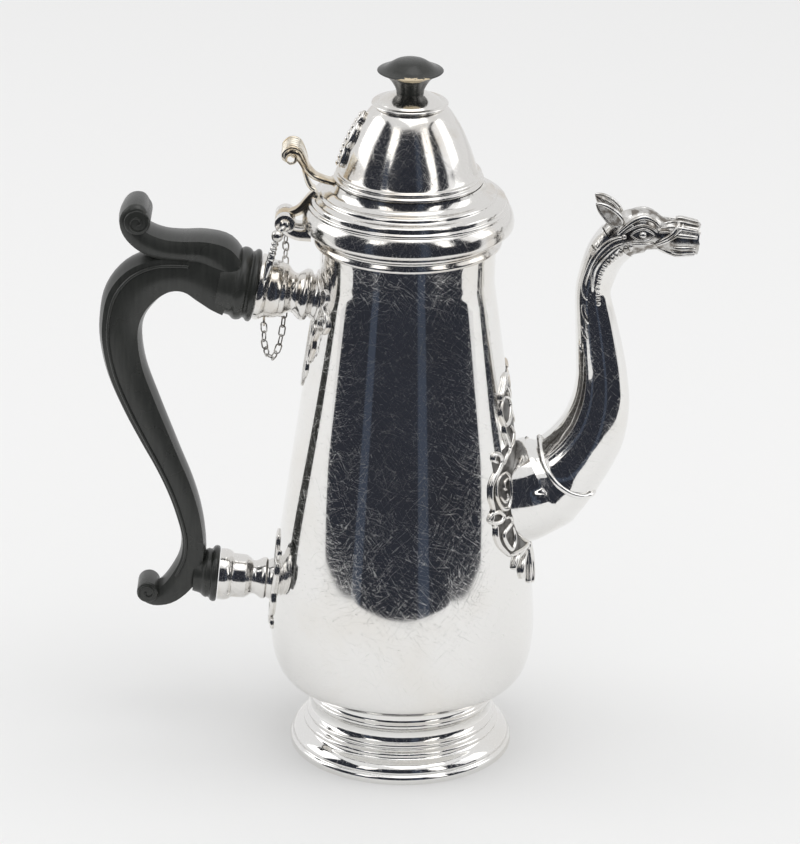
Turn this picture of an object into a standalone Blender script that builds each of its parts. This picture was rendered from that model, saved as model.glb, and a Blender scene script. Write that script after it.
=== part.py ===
"""Silver coffee pot with a hinged domed lid, an ebonised wood handle and a beast-head spout.

The pot stands on z = 0. The handle is on -X and the spout on +X. The origin is under the
middle of the whole pot, so the pot's own axis stands at x = POT_AXIS_X. Every outline below
is in millimetres and is measured from the pot's own axis.
"""
import math

import bmesh
import bpy
from mathutils import Matrix, Vector

MM = 0.001
TURNED_SIDES = 32
SMALL_SIDES = 20

# Driving dimensions, in millimetres.
POT_AXIS_X = 2.9
GAP = 0.3
BELLY_R = 47.6
RIM_R = 33.3
LID_SEAT_Z = 198.8
LID_WIDEST_R = 37.15
HINGE_X = -43.0
HINGE_Z = 200.5
KNUCKLE_R = 3.6
PIN_R = 1.2
BORE_R = 1.3
KNUCKLE_HALF = 2.2
BARREL_HALF = 6.2
FINIAL_SCREW_R = 1.5
FINIAL_HOLE_R = 1.9
PLATE_LIFT = 0.6
PLATE_THICK = 1.1
TENON_PIN_R = 0.8
LINK_LENGTH = 4.5
LINK_WIDTH = 2.8
LINK_WIRE_R = 0.27
LINK_PITCH = 3.42
LINK_BENDS = 8

# Outlines as (radius, height), walked down the outside of each turned piece.
BODY_OUTER = [(31.6, 198.2), (31.6, 192.5), (31.1, 187.5), (30.8, 182.5), (31.0, 177.0), (32.4, 167.0),
              (39.4, 117.6), (44.6, 80.0), (46.2, 68.0), (47.2, 57.0), (BELLY_R, 48.5), (47.2, 41.0),
              (46.2, 35.3), (44.4, 30.7), (41.5, 27.8), (37.5, 26.7), (32.5, 26.2), (16.0, 25.8)]
BODY_INNER = [(16.0, 26.9), (37.2, 27.8), (43.4, 31.4), (45.8, 39.0), (46.6, 48.5), (45.2, 68.0),
              (38.4, 117.6), (30.0, 177.0), (29.8, 182.5), (30.6, 192.5), (30.6, 198.2)]
FOOT = [(32.6, 25.8), (32.6, 21.2), (33.6, 20.5), (33.9, 19.5), (33.5, 18.4), (32.6, 17.6), (32.4, 15.0),
        (33.2, 13.0), (34.1, 12.2), (34.1, 11.2), (33.8, 10.5), (35.1, 9.6), (35.4, 8.8), (35.2, 8.1),
        (36.0, 7.4), (37.7, 6.4), (38.9, 5.1), (39.4, 3.8), (39.3, 3.0), (40.1, 2.3), (40.3, 0.0),
        (38.4, 0.0), (36.0, 5.2), (32.4, 9.6), (31.2, 13.0), (31.2, 25.8)]
RIM_MOULDING = [(32.0, 198.3), (33.0, 198.3), (RIM_R, 197.6), (RIM_R, 196.8), (32.9, 196.1), (32.5, 195.4),
                (32.6, 194.8), (33.1, 194.2), (33.1, 193.3), (32.7, 192.7), (32.1, 192.6), (31.95, 193.0)]
DOME_OUTER = [(FINIAL_HOLE_R, 243.2), (11.8, 243.2), (12.6, 242.7), (14.8, 240.3), (18.3, 234.5),
              (21.3, 227.8), (23.3, 221.8), (24.3, 219.2), (25.3, 219.0), (25.6, 218.4), (25.4, 217.7),
              (26.0, 217.3), (26.2, 216.7), (26.1, 216.2)]
DOME_INNER = [(25.0, 216.2), (24.0, 217.6), (22.3, 221.6), (20.3, 227.4), (17.4, 233.9), (14.1, 239.4),
              (11.6, 241.9), (FINIAL_HOLE_R, 242.1)]
FLANGE = [(26.2, 215.9), (27.1, 213.8), (28.7, 212.3), (30.4, 211.8), (30.9, 211.2), (31.3, 210.4),
          (33.2, 209.8), (34.2, 209.1), (34.5, 208.4), (35.0, 207.6), (35.2, 206.9), (35.1, 206.4),
          (36.3, 204.6), (37.0, 202.4), (LID_WIDEST_R, 200.6), (36.8, 199.5), (36.0, LID_SEAT_Z),
          (30.2, LID_SEAT_Z), (30.2, 200.4), (33.6, 202.0), (33.4, 206.0), (27.8, 210.8), (25.1, 215.9)]
BEZEL = [(29.5, 200.2), (29.3, 192.2), (28.4, 192.0), (28.5, 200.2)]
FINIAL_PLATE = [(FINIAL_HOLE_R, 246.5), (8.0, 246.5), (10.9, 246.2), (11.5, 245.6), (11.7, 245.0),
                (13.1, 244.8), (13.45, 244.2), (13.1, 243.5), (FINIAL_HOLE_R, 243.5)]
KNOB = [(0.0, 260.0), (2.5, 259.8), (5.2, 259.1), (8.0, 257.7), (10.4, 256.7), (11.4, 255.9), (11.0, 255.1),
        (8.2, 254.4), (5.6, 253.0), (4.2, 251.2), (3.8, 249.6), (4.0, 247.9), (4.6, 246.8),
        (FINIAL_HOLE_R, 246.8), (FINIAL_HOLE_R, 252.5), (0.0, 252.5)]
WASHER = [(FINIAL_HOLE_R, 241.8), (5.4, 241.8), (5.4, 241.1), (FINIAL_HOLE_R, 241.1)]

# The turned drop on the pin as (radius, height below the pin's axis).
DROP = [(0.0, -2.3), (1.2, -2.3), (1.25, -7.0), (1.6, -8.1), (1.6, -9.3), (1.1, -10.3), (1.8, -10.6),
        (1.8, -11.2), (1.4, -11.5), (1.45, -14.3), (1.8, -14.7), (1.8, -15.3), (1.35, -16.0), (1.2, -17.2),
        (0.4, -25.0), (0.0, -25.3)]
DROP_LEAN = 14.0
DROP_OUT = -9.0
PIN_HEAD_R = 1.9
PIN_OVERHANG = 2.4

# The chain hangs from a ring on the pin's far end and ends in a staple under the upper socket.
CHAIN_RING_R = 2.85
CHAIN_RING_AT = (HINGE_X, 7.4, HINGE_Z - 0.9)
STAPLE_AT = (-50.4, 0.0, 161.95)
STAPLE_R = 1.45
RING_WIRE_R = 0.45
LOOP_NORMAL = Vector((0.88, -0.47, 0.0))

# Sockets as (radius, distance from the body end) along an axis that rises towards the handle.
UPPER_SOCKET_AT = (-33.9, 171.9)
UPPER_SOCKET_RISE = 10.0
UPPER_SOCKET = [(7.6, 0.0), (8.9, 0.9), (9.3, 2.4), (8.9, 3.7), (7.3, 5.3), (7.0, 6.6), (7.8, 8.0),
                (8.8, 8.9), (9.4, 9.6), (9.5, 10.8), (10.0, 11.3), (10.4, 15.4), (10.9, 16.0), (11.6, 17.6),
                (11.8, 19.0), (9.0, 19.0), (8.6, 10.2), (0.0, 10.2)]
LOWER_SOCKET_AT = (-48.9, 62.4)
LOWER_SOCKET_RISE = 5.0
LOWER_SOCKET = [(6.9, 0.0), (7.6, 0.8), (7.4, 2.2), (6.1, 4.4), (6.0, 5.4), (6.9, 6.4), (7.4, 7.4),
                (7.9, 8.2), (8.0, 12.6), (8.7, 13.2), (9.2, 15.0), (9.3, 17.4), (7.0, 17.4), (6.7, 8.6),
                (0.0, 8.6)]

# The handle's arm as (x, z, half depth in the side view, half thickness across), from the top down.
HANDLE_ARM = [(-63.0, 176.6, 11.6, 10.6), (-68.5, 178.6, 10.4, 9.6), (-74.0, 180.3, 8.2, 8.8),
              (-80.5, 181.4, 7.0, 8.4), (-87.5, 180.6, 8.0, 8.3), (-93.6, 177.2, 8.8, 8.2),
              (-98.4, 171.2, 8.8, 8.1), (-100.7, 163.5, 8.0, 8.0), (-101.0, 155.2, 7.6, 7.9),
              (-98.8, 144.0, 7.2, 7.6), (-94.2, 131.5, 6.8, 7.3), (-88.9, 119.2, 6.1, 7.0),
              (-84.5, 109.4, 5.4, 6.7), (-80.5, 99.8, 5.1, 6.5), (-77.4, 90.0, 4.8, 6.4),
              (-75.4, 80.0, 4.4, 6.3), (-75.5, 71.5, 4.6, 6.2), (-78.6, 63.2, 5.2, 6.0),
              (-83.8, 57.2, 4.6, 5.8), (-89.2, 54.6, 3.6, 5.6), (-93.0, 55.4, 2.8, 5.5)]
THUMB_SCROLL = [(-62.0, 184.0, 5.6, 8.6), (-66.5, 188.4, 5.6, 8.6), (-73.5, 189.8, 4.9, 8.4),
                (-81.0, 189.8, 4.8, 8.2), (-88.0, 191.0, 4.7, 8.0), (-93.4, 194.6, 4.4, 8.0),
                (-96.8, 199.2, 3.9, 8.2), (-96.4, 203.4, 3.0, 8.4)]
TOP_VOLUTE = (-94.4, 201.0, 4.2, 9.0)
LOW_VOLUTE = (-92.0, 58.2, 4.0, 6.6)
UPPER_COLLAR = [(11.4, 19.3), (12.8, 20.4), (11.9, 22.4), (13.0, 24.8), (12.3, 27.2), (11.6, 30.0)]
LOWER_COLLAR = [(9.2, 17.7), (10.2, 19.0), (8.4, 21.4), (7.4, 26.5)]

# Each socket is pinned to its tenon: (distance from the body end, half length of the pin).
TENON_PINS = {"upper": (14.0, 10.6), "lower": (13.0, 8.3)}

# The spout as (x, z, half depth in the side view, half width across), from the body outwards.
SPOUT = [(51.5, 101.3, 18.7, 18.7), (56.0, 104.0, 17.0, 17.0), (60.0, 107.8, 15.5, 15.5),
         (64.6, 114.4, 14.4, 14.4), (68.3, 122.6, 12.9, 12.9), (70.2, 133.0, 11.0, 11.0),
         (70.0, 143.0, 9.3, 9.3),
         (68.7, 151.6, 8.2, 8.2), (66.9, 163.2, 6.9, 6.9), (65.4, 174.0, 5.8, 5.8), (66.6, 181.2, 6.0, 6.0),
         (69.2, 188.6, 6.5, 6.4), (73.3, 194.2, 7.2, 6.6), (78.0, 197.4, 8.0, 6.9), (83.2, 198.3, 7.9, 6.6),
         (88.0, 197.2, 5.6, 5.4), (91.5, 196.6, 6.2, 5.6), (94.5, 196.2, 6.9, 6.2), (102.8, 195.4, 5.7, 5.5)]
CASTING_EDGE = 2
HEAD_EDGE = 12
CASTING_PROUD = 0.5
SPOUT_WALL = 1.2
STRAINER_HOLE_R = 1.6
STRAINER_RING_R = 7.0
ROOT_R = 19.4
ROOT_Z = 100.4

SILVER = (0.86, 0.85, 0.83)
EBONISED = (0.03, 0.033, 0.03)


def material(name, colour, metallic, roughness):
    """One Principled BSDF material."""
    mat = bpy.data.materials.new(name)
    mat.use_nodes = True
    shader = mat.node_tree.nodes["Principled BSDF"]
    shader.inputs["Base Color"].default_value = (*colour, 1.0)
    shader.inputs["Metallic"].default_value = metallic
    shader.inputs["Roughness"].default_value = roughness
    return mat


def finish_object(name, bm, mat, moves=None):
    """Turn a bmesh in millimetres into a named object, in metres, with smooth turned faces."""
    bmesh.ops.remove_doubles(bm, verts=bm.verts, dist=1e-4)
    bmesh.ops.recalc_face_normals(bm, faces=bm.faces)
    origin = Vector(moves) if moves else Vector((0.0, 0.0, 0.0))
    bmesh.ops.translate(bm, verts=bm.verts, vec=-origin)
    bmesh.ops.scale(bm, verts=bm.verts, vec=(MM, MM, MM))
    mesh = bpy.data.meshes.new(name)
    bm.to_mesh(mesh)
    bm.free()
    mesh.shade_smooth()
    mesh.set_sharp_from_angle(angle=math.radians(35))
    mesh.materials.append(mat)
    obj = bpy.data.objects.new(name, mesh)
    obj.location = origin * MM
    obj.parent = pot
    bpy.context.scene.collection.objects.link(obj)
    return obj


def turned(outline, segments, place=None):
    """A closed outline of (radius, height) spun round Z, then put in place."""
    bm = bmesh.new()
    verts = [bm.verts.new((r, 0.0, z)) for r, z in outline]
    on_axis = outline[0][0] == 0.0 and outline[-1][0] == 0.0
    pairs = list(zip(verts, verts[1:])) + ([] if on_axis else [(verts[-1], verts[0])])
    edges = [bm.edges.new(pair) for pair in pairs]
    bmesh.ops.spin(bm, geom=verts + edges, axis=(0, 0, 1), cent=(0, 0, 0), steps=segments,
                   angle=2 * math.pi)
    bmesh.ops.remove_doubles(bm, verts=bm.verts, dist=1e-3)
    bmesh.ops.recalc_face_normals(bm, faces=bm.faces)
    if place:
        bm.transform(place)
    return bm


def ring(centre, along, half_up, half_across, sides, power=2.0):
    """Points of a rounded cross-section, square to `along`, which lies in the XZ plane."""
    up = Vector((-along.z, 0.0, along.x))
    points = []
    for i in range(sides):
        turn = 2 * math.pi * i / sides
        c, s = math.cos(turn), math.sin(turn)
        across = math.copysign(abs(c) ** (2 / power), c) * half_across
        rise = math.copysign(abs(s) ** (2 / power), s) * half_up
        points.append(centre + Vector((0, across, 0)) + up * rise)
    return points


def skin(bm, rings, cap_ends=True):
    """Faces between rings of points, with the two ends capped when asked."""
    loops = [[bm.verts.new(p) for p in points] for points in rings]
    for lower, upper in zip(loops, loops[1:]):
        for i, here in enumerate(lower):
            following = (i + 1) % len(lower)
            bm.faces.new((here, lower[following], upper[following], upper[i]))
    if cap_ends:
        bm.faces.new(reversed(loops[0]))
        bm.faces.new(loops[-1])
    return loops


def tangents(points):
    """Unit direction at each of a list of points along a path."""
    ends = [points[0]] + list(points) + [points[-1]]
    return [(ends[i + 2] - ends[i]).normalized() for i in range(len(points))]


def bar(stations, sides, power=2.0):
    """A solid bar through (x, z, half depth, half thickness) stations."""
    centres = [Vector((x, 0.0, z)) for x, z, _, _ in stations]
    bm = bmesh.new()
    rings = [ring(c, t, s[2], s[3], sides, power) for c, t, s in zip(centres, tangents(centres), stations)]
    skin(bm, rings)
    return bm


def spout_rings(first, last, shrink, sides):
    """Cross-sections of one run of the spout's stations, made smaller by `shrink` all round."""
    centres = [Vector((x, 0.0, z)) for x, z, _, _ in SPOUT]
    directions = tangents(centres)
    rings = []
    for k in range(first, last + 1):
        _, _, half_up, half_across = SPOUT[k]
        clear = directions[k] * GAP if k == first else Vector()
        rings.append(ring(centres[k] + clear, directions[k], half_up - shrink, half_across - shrink, sides))
    return rings


def pipe(outer, inner):
    """A closed wall between an outer and an inner run of rings, open at both ends."""
    bm = bmesh.new()
    skin(bm, outer + inner[::-1] + [outer[0]], cap_ends=False)
    bmesh.ops.remove_doubles(bm, verts=bm.verts, dist=1e-3)
    return bm


def turned_tube(place_at, rise_deg):
    """Matrix that lays a turned piece along an axis in XZ that leaves the pot and rises."""
    x, z = place_at
    return Matrix.Translation((x, 0.0, z)) @ Matrix.Rotation(math.radians(rise_deg - 90.0), 4, "Y")


def radius_at(outline, z):
    """Radius of a turned outline at a height, read between its points."""
    for (r0, z0), (r1, z1) in zip(outline, outline[1:]):
        if z1 <= z <= z0:
            return r0 + (r1 - r0) * (z0 - z) / (z0 - z1)
    return outline[-1][0]


def wrapped_plate(outline, spans, side, columns=6):
    """A thin plate that lies on a turned surface; spans are (height, half width)."""
    bm = bmesh.new()
    sheets = []
    for lift in (PLATE_LIFT, PLATE_LIFT + PLATE_THICK):
        rows = []
        for z, half in spans:
            r = radius_at(outline, z) + lift
            turns = [math.asin(half * (2 * k / columns - 1) / r) for k in range(columns + 1)]
            rows.append([Vector((side * r * math.cos(t), r * math.sin(t), z)) for t in turns])
        sheets.append(rows)
    under, top = sheets
    rings = [low + high[::-1] for low, high in zip(under, top)]
    skin(bm, rings)
    return bm


def cylinder_y(x, z, radius, y0, y1, segments=24):
    """A cylinder along Y, in the place it takes on the pot."""
    bm = bmesh.new()
    place = Matrix.Translation((x, (y0 + y1) / 2, z)) @ Matrix.Rotation(math.pi / 2, 4, "X")
    bmesh.ops.create_cone(bm, cap_ends=True, segments=segments, radius1=radius, radius2=radius,
                          depth=y1 - y0, matrix=place)
    return bm


def slab_y(outline, y0, y1):
    """A flat outline in XZ, given thickness along Y."""
    bm = bmesh.new()
    skin(bm, [[Vector((x, y, z)) for x, z in outline] for y in (y0, y1)])
    return bm


def with_tool(obj, name, bm, operation):
    """Add a Boolean modifier whose tool is left out of the build."""
    tool = finish_object(name, bm, silver)
    tool.hide_render = True
    tool.display_type = "WIRE"
    cut = obj.modifiers.new(name, "BOOLEAN")
    cut.operation = operation
    cut.solver = "EXACT"
    cut.object = tool
    return tool


def build_body():
    wall = [(0.0, 25.7)] + BODY_OUTER[::-1] + BODY_INNER[::-1] + [(0.0, 26.8)]
    body = finish_object("body_shell", turned(wall, TURNED_SIDES), silver)
    for number in range(7):
        turn = number * math.pi / 3
        reach = STRAINER_RING_R if number < 6 else 0.0
        at = (41.5, reach * math.cos(turn), ROOT_Z + reach * math.sin(turn))
        place = Matrix.Translation(at) @ Matrix.Rotation(math.pi / 2, 4, "Y")
        bm = bmesh.new()
        bmesh.ops.create_cone(bm, cap_ends=True, segments=10, radius1=STRAINER_HOLE_R,
                              radius2=STRAINER_HOLE_R, depth=12.0, matrix=place)
        with_tool(body, f"strainer_hole_{number}", bm, "DIFFERENCE")
    finish_object("foot", turned(FOOT, TURNED_SIDES), silver)
    finish_object("rim_moulding", turned(RIM_MOULDING, TURNED_SIDES), silver)


def build_lid():
    hinge = (HINGE_X, 0.0, HINGE_Z)
    finish_object("lid_dome", turned(DOME_OUTER + DOME_INNER, TURNED_SIDES), silver, hinge)
    finish_object("lid_flange", turned(FLANGE, TURNED_SIDES), silver, hinge)
    finish_object("lid_bezel", turned(BEZEL, TURNED_SIDES), silver, hinge)
    finish_object("finial_plate", turned(FINIAL_PLATE, SMALL_SIDES), silver, hinge)
    finish_object("finial_knob", turned(KNOB, SMALL_SIDES), ebonised, hinge)
    finish_object("finial_washer", turned(WASHER, 16), silver, hinge)
    nut = [(FINIAL_HOLE_R, 240.8), (3.6, 240.8), (3.6, 238.8), (FINIAL_HOLE_R, 238.8)]
    finish_object("finial_nut", turned(nut, 6), silver, hinge)
    screw = [(0.0, 252.1), (FINIAL_SCREW_R, 252.1), (FINIAL_SCREW_R, 237.9), (0.0, 237.9)]
    finish_object("finial_screw", turned(screw, 12), silver, hinge)
    spans = [(240.6, 0.8), (238.6, 2.2), (235.0, 2.8), (231.0, 4.2), (227.0, 4.8), (223.5, 3.2), (220.4, 5.2)]
    finish_object("lid_strap", wrapped_plate(DOME_OUTER, spans, -1, 4), silver, hinge)


def build_thumbpiece():
    hinge = (HINGE_X, 0.0, HINGE_Z)
    stem = [(-27.9, 215.4, 1.3, 2.0), (-30.6, 216.2, 1.4, 2.2), (-33.6, 218.2, 1.6, 2.2),
            (-36.0, 221.0, 1.8, 2.6), (-38.0, 225.4, 2.2, 4.6), (-40.4, 228.4, 2.4, 6.2), (-43.0, 227.6, 1.9, 6.4),
            (-44.0, 224.8, 1.2, 5.6)]
    piece = finish_object("thumbpiece", bar(stem, 10), silver, hinge)
    leg = [(-37.2, 222.6, 1.1, 1.8), (-35.4, 216.2, 1.3, 1.9), (-33.6, 212.4, 1.6, 2.1)]
    with_tool(piece, "thumbpiece_leg", bar(leg, 10), "UNION")


def build_hinge():
    hinge = (HINGE_X, 0.0, HINGE_Z)
    lug = [(-41.6, 203.2), (-39.4, 206.0), (-37.0, 209.0), (-34.4, 211.4), (-31.6, 212.2), (-31.6, 211.6),
           (-34.0, 210.0), (-35.0, 208.8), (-35.8, 207.0), (-36.9, 204.6), (-37.7, 202.4), (-37.7, 200.4),
           (-39.0, 199.2), (-42.0, 198.2)]
    knuckle = finish_object("lid_hinge_lug", slab_y(lug, -KNUCKLE_HALF, KNUCKLE_HALF), silver, hinge)
    with_tool(knuckle, "lid_knuckle_round",
              cylinder_y(HINGE_X, HINGE_Z, KNUCKLE_R, -KNUCKLE_HALF, KNUCKLE_HALF), "UNION")
    with_tool(knuckle, "lid_knuckle_bore", cylinder_y(HINGE_X, HINGE_Z, BORE_R, -9.0, 9.0), "DIFFERENCE")
    arm = [(-41.4, 200.0), (-39.6, 198.5), (-33.8, 198.1), (-33.8, 194.0), (-38.6, 194.4), (-43.4, 198.4)]
    for name, y0, y1 in (("body_knuckle_near", -BARREL_HALF, -KNUCKLE_HALF - GAP),
                         ("body_knuckle_far", KNUCKLE_HALF + GAP, BARREL_HALF)):
        piece = finish_object(name, slab_y(arm, y0, y1), silver)
        with_tool(piece, name + "_round", cylinder_y(HINGE_X, HINGE_Z, KNUCKLE_R, y0, y1), "UNION")
        with_tool(piece, name + "_bore", cylinder_y(HINGE_X, HINGE_Z, BORE_R, -9.0, 9.0), "DIFFERENCE")
    near_end = -BARREL_HALF - PIN_OVERHANG
    far_end = BARREL_HALF + PIN_OVERHANG
    pin = finish_object("hinge_pin", cylinder_y(HINGE_X, HINGE_Z, PIN_R, near_end, far_end), silver, hinge)
    for name, y0, y1 in (("pin_head", near_end, near_end + 2.0), ("pin_button", far_end - 0.6, far_end)):
        with_tool(pin, name, cylinder_y(HINGE_X, HINGE_Z, PIN_HEAD_R, y0, y1, 16), "UNION")
    lean = Matrix.Rotation(math.radians(DROP_LEAN), 4, "Y") @ Matrix.Rotation(math.radians(DROP_OUT), 4, "X")
    place = Matrix.Translation((HINGE_X, near_end + 0.9, HINGE_Z)) @ lean
    finish_object("pin_drop", turned(DROP, 14, place), silver, hinge)


def build_sockets():
    for level, outline, at, rise in (("upper", UPPER_SOCKET, UPPER_SOCKET_AT, UPPER_SOCKET_RISE),
                                     ("lower", LOWER_SOCKET, LOWER_SOCKET_AT, LOWER_SOCKET_RISE)):
        place = turned_tube(at, rise)
        socket = finish_object(level + "_socket", turned([(0.0, 0.0)] + outline, SMALL_SIDES, place), silver)
        along, half = TENON_PINS[level]
        pin_at = place @ Vector((0.0, 0.0, along))
        with_tool(socket, level + "_socket_hole",
                  cylinder_y(pin_at.x, pin_at.z, TENON_PIN_R + GAP, -20, 20, 12), "DIFFERENCE")
        finish_object(level + "_tenon_pin", cylinder_y(pin_at.x, pin_at.z, TENON_PIN_R, -half, half, 12), silver)
    upper_spans = [(181.0, 5.0), (177.0, 9.0), (170.0, 10.5), (163.0, 9.5), (157.0, 6.5), (151.0, 7.0),
                   (145.0, 5.0), (140.0, 2.8), (136.8, 0.8)]
    finish_object("upper_backplate", wrapped_plate(BODY_OUTER, upper_spans, -1), silver)
    lower_spans = [(82.3, 0.8), (78.0, 3.4), (73.0, 7.0), (68.0, 9.5), (62.0, 10.5), (56.0, 9.0), (51.0, 6.0),
                   (46.5, 3.0), (43.5, 0.8)]
    finish_object("lower_backplate", wrapped_plate(BODY_OUTER, lower_spans, -1), silver)


def build_handle():
    arm = finish_object("handle", bar(HANDLE_ARM, 12, 2.6), ebonised)
    with_tool(arm, "handle_scroll", bar(THUMB_SCROLL, 10, 2.6), "UNION")
    for name, (x, z, r, half) in (("top_volute", TOP_VOLUTE), ("low_volute", LOW_VOLUTE)):
        with_tool(arm, name, cylinder_y(x, z, r, -half, half, 16), "UNION")
    for level, collar, at, rise, tenon_r, tenon_from in (
            ("upper", UPPER_COLLAR, UPPER_SOCKET_AT, UPPER_SOCKET_RISE, 8.2, 10.8),
            ("lower", LOWER_COLLAR, LOWER_SOCKET_AT, LOWER_SOCKET_RISE, 6.2, 9.2)):
        outline = [(0.0, tenon_from), (tenon_r, tenon_from), (tenon_r, collar[0][1])] + collar
        place = turned_tube(at, rise)
        with_tool(arm, level + "_collar", turned(outline + [(0.0, collar[-1][1])], 16, place), "UNION")
        pin_at = place @ Vector((0.0, 0.0, TENON_PINS[level][0]))
        with_tool(arm, level + "_handle_hole",
                  cylinder_y(pin_at.x, pin_at.z, TENON_PIN_R + GAP, -20, 20, 12), "DIFFERENCE")


def build_spout():
    sides = SMALL_SIDES
    outer = spout_rings(0, CASTING_EDGE, 0.0, sides)
    inner = spout_rings(0, CASTING_EDGE, SPOUT_WALL, sides)
    lift = PLATE_LIFT + PLATE_THICK + GAP
    for rings, r in ((outer, ROOT_R), (inner, ROOT_R - SPOUT_WALL)):
        flat = ring(Vector((0.0, 0.0, ROOT_Z)), Vector((1.0, 0.0, 0.0)), r, r, sides)
        depths = [math.sqrt((radius_at(BODY_OUTER, p.z) + lift) ** 2 - p.y ** 2) for p in flat]
        root = [Vector((depth, p.y, p.z)) for depth, p in zip(depths, flat)]
        rings.insert(0, root)
    finish_object("spout_lower", pipe(outer, inner), silver)
    finish_object("spout_upper", pipe(spout_rings(CASTING_EDGE, HEAD_EDGE, -CASTING_PROUD, sides),
                                      spout_rings(CASTING_EDGE, HEAD_EDGE, SPOUT_WALL, sides)), silver)
    finish_object("beast_head", pipe(spout_rings(HEAD_EDGE, len(SPOUT) - 1, 0.0, sides),
                                     spout_rings(HEAD_EDGE, len(SPOUT) - 1, SPOUT_WALL, sides)), silver)
    spans = [(144.0, 0.8), (139.0, 2.5), (132.0, 5.5), (125.0, 9.0), (120.0, 15.0), (114.0, 21.0),
             (106.0, 26.0), (98.0, 29.0), (91.0, 30.5), (86.0, 31.0), (80.0, 25.0), (74.0, 17.0),
             (69.0, 10.0), (65.0, 5.0), (62.0, 1.0)]
    finish_object("spout_backplate", wrapped_plate(BODY_OUTER, spans, 1, 10), silver)
    for name, side in (("ear_near", -1), ("ear_far", 1)):
        path = [((76.4, 4.6, 204.3), 1.3), ((73.6, 5.6, 206.4), 2.2), ((70.2, 6.3, 208.8), 1.9),
                ((65.6, 6.6, 211.2), 0.4)]
        points = [Vector((x, side * y, z)) for (x, y, z), _ in path]
        bm = bmesh.new()
        skin(bm, [ring(p, Vector((t.x, 0, t.z)).normalized(), r, r * 0.8, 8)
                  for p, t, (_, r) in zip(points, tangents(points), path)])
        finish_object(name, bm, silver)


def chain_route(t):
    """Smooth route of the chain, from its ring round behind the socket to the staple."""
    x, y, z = CHAIN_RING_AT
    end_x, end_y, end_z = STAPLE_AT
    knots = [(x, y, z - CHAIN_RING_R + 0.6), (x, 9.2, 191.0), (x - 0.2, 12.8, 180.0), (x - 0.4, 13.6, 168.0),
             (x - 0.8, 12.4, 157.6), (x - 2.2, 9.4, 149.4), (x - 4.2, 5.4, 146.4), (x - 6.2, 2.0, 149.0),
             (end_x + 0.2, 0.4, 153.6), (end_x, end_y, end_z - STAPLE_R + 0.6)]
    knots = [Vector(k) for k in knots]
    ends = [2 * knots[0] - knots[1]] + knots + [2 * knots[-1] - knots[-2]]
    span = min(int(t * (len(knots) - 1)), len(knots) - 2)
    u = t * (len(knots) - 1) - span
    a, b, c, d = ends[span:span + 4]
    return 0.5 * (2 * b + (c - a) * u + (2 * a - 5 * b + 4 * c - d) * u ** 2 + (3 * b - a - 3 * c + d) * u ** 3)


def link_mesh(centre, along, side):
    """One chain link: a wire bent to a long oval, lying in the plane of `along` and `side`."""
    straight = (LINK_LENGTH - LINK_WIDTH) / 2
    bend_r = LINK_WIDTH / 2 - LINK_WIRE_R
    across = along.cross(side)
    rings = []
    for k in range(LINK_BENDS):
        turn = 2 * math.pi * (k + 0.5) / LINK_BENDS
        out = along * math.cos(turn) + side * math.sin(turn)
        middle = centre + out * bend_r + along * math.copysign(straight, math.cos(turn))
        rings.append([middle + (out * math.cos(a) + across * math.sin(a)) * LINK_WIRE_R
                      for a in (2 * math.pi * (m + 0.5) / 4 for m in range(4))])
    bm = bmesh.new()
    skin(bm, rings + [rings[0]], cap_ends=False)
    return bm


def build_chain():
    samples = [chain_route(k / 800) for k in range(801)]
    steps = [(after - before).length for before, after in zip(samples, samples[1:])]
    count = 2 * round(sum(steps) / LINK_PITCH / 2)
    pitch = sum(steps) / count
    walked, number = 0.0, 1
    for before, after, step in zip(samples, samples[1:], steps):
        walked += step
        if walked >= (number - 0.5) * pitch and number <= count:
            along = (after - before).normalized()
            side = along.cross(LOOP_NORMAL).normalized()
            if number % 2 == 0:
                side = along.cross(side).normalized()
            finish_object(f"chain_link_{number:02d}", link_mesh(after, along, side), silver)
            number += 1
    for name, radius, at, axis in (("chain_ring", CHAIN_RING_R, CHAIN_RING_AT, "X"),
                                   ("chain_staple", STAPLE_R, STAPLE_AT, "Y")):
        outline = [(radius - RING_WIRE_R, RING_WIRE_R), (radius + RING_WIRE_R, RING_WIRE_R),
                   (radius + RING_WIRE_R, -RING_WIRE_R), (radius - RING_WIRE_R, -RING_WIRE_R)]
        place = Matrix.Translation(at) @ Matrix.Rotation(math.pi / 2, 4, axis)
        finish_object(name, turned(outline, 16, place), silver)


for old in list(bpy.data.objects):
    bpy.data.objects.remove(old, do_unlink=True)

silver = material("polished_silver", SILVER, 1.0, 0.08)
ebonised = material("ebonised_wood", EBONISED, 0.0, 0.35)
pot = bpy.data.objects.new("pot_axis", None)
pot.location = (POT_AXIS_X * MM, 0.0, 0.0)
bpy.context.scene.collection.objects.link(pot)

build_body()
build_lid()
build_thumbpiece()
build_hinge()
build_sockets()
build_handle()
build_spout()
build_chain()
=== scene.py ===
# %% [markdown]
# # A silver coffee pot, finished piece by piece
#
# The pot is already built as a plain frame of faceted solids that turn on its real hinge.
# This lesson gives that frame its looks: polished silver, an ebonised wood handle and knob,
# cast scrollwork, a beast's head on the spout, and a small chain on the hinge pin.
# The frame is loaded first, because every new piece takes its place from it.

# %% Load the frame
import math
import bpy
import numpy as np
from mathutils import Matrix, Vector


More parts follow.
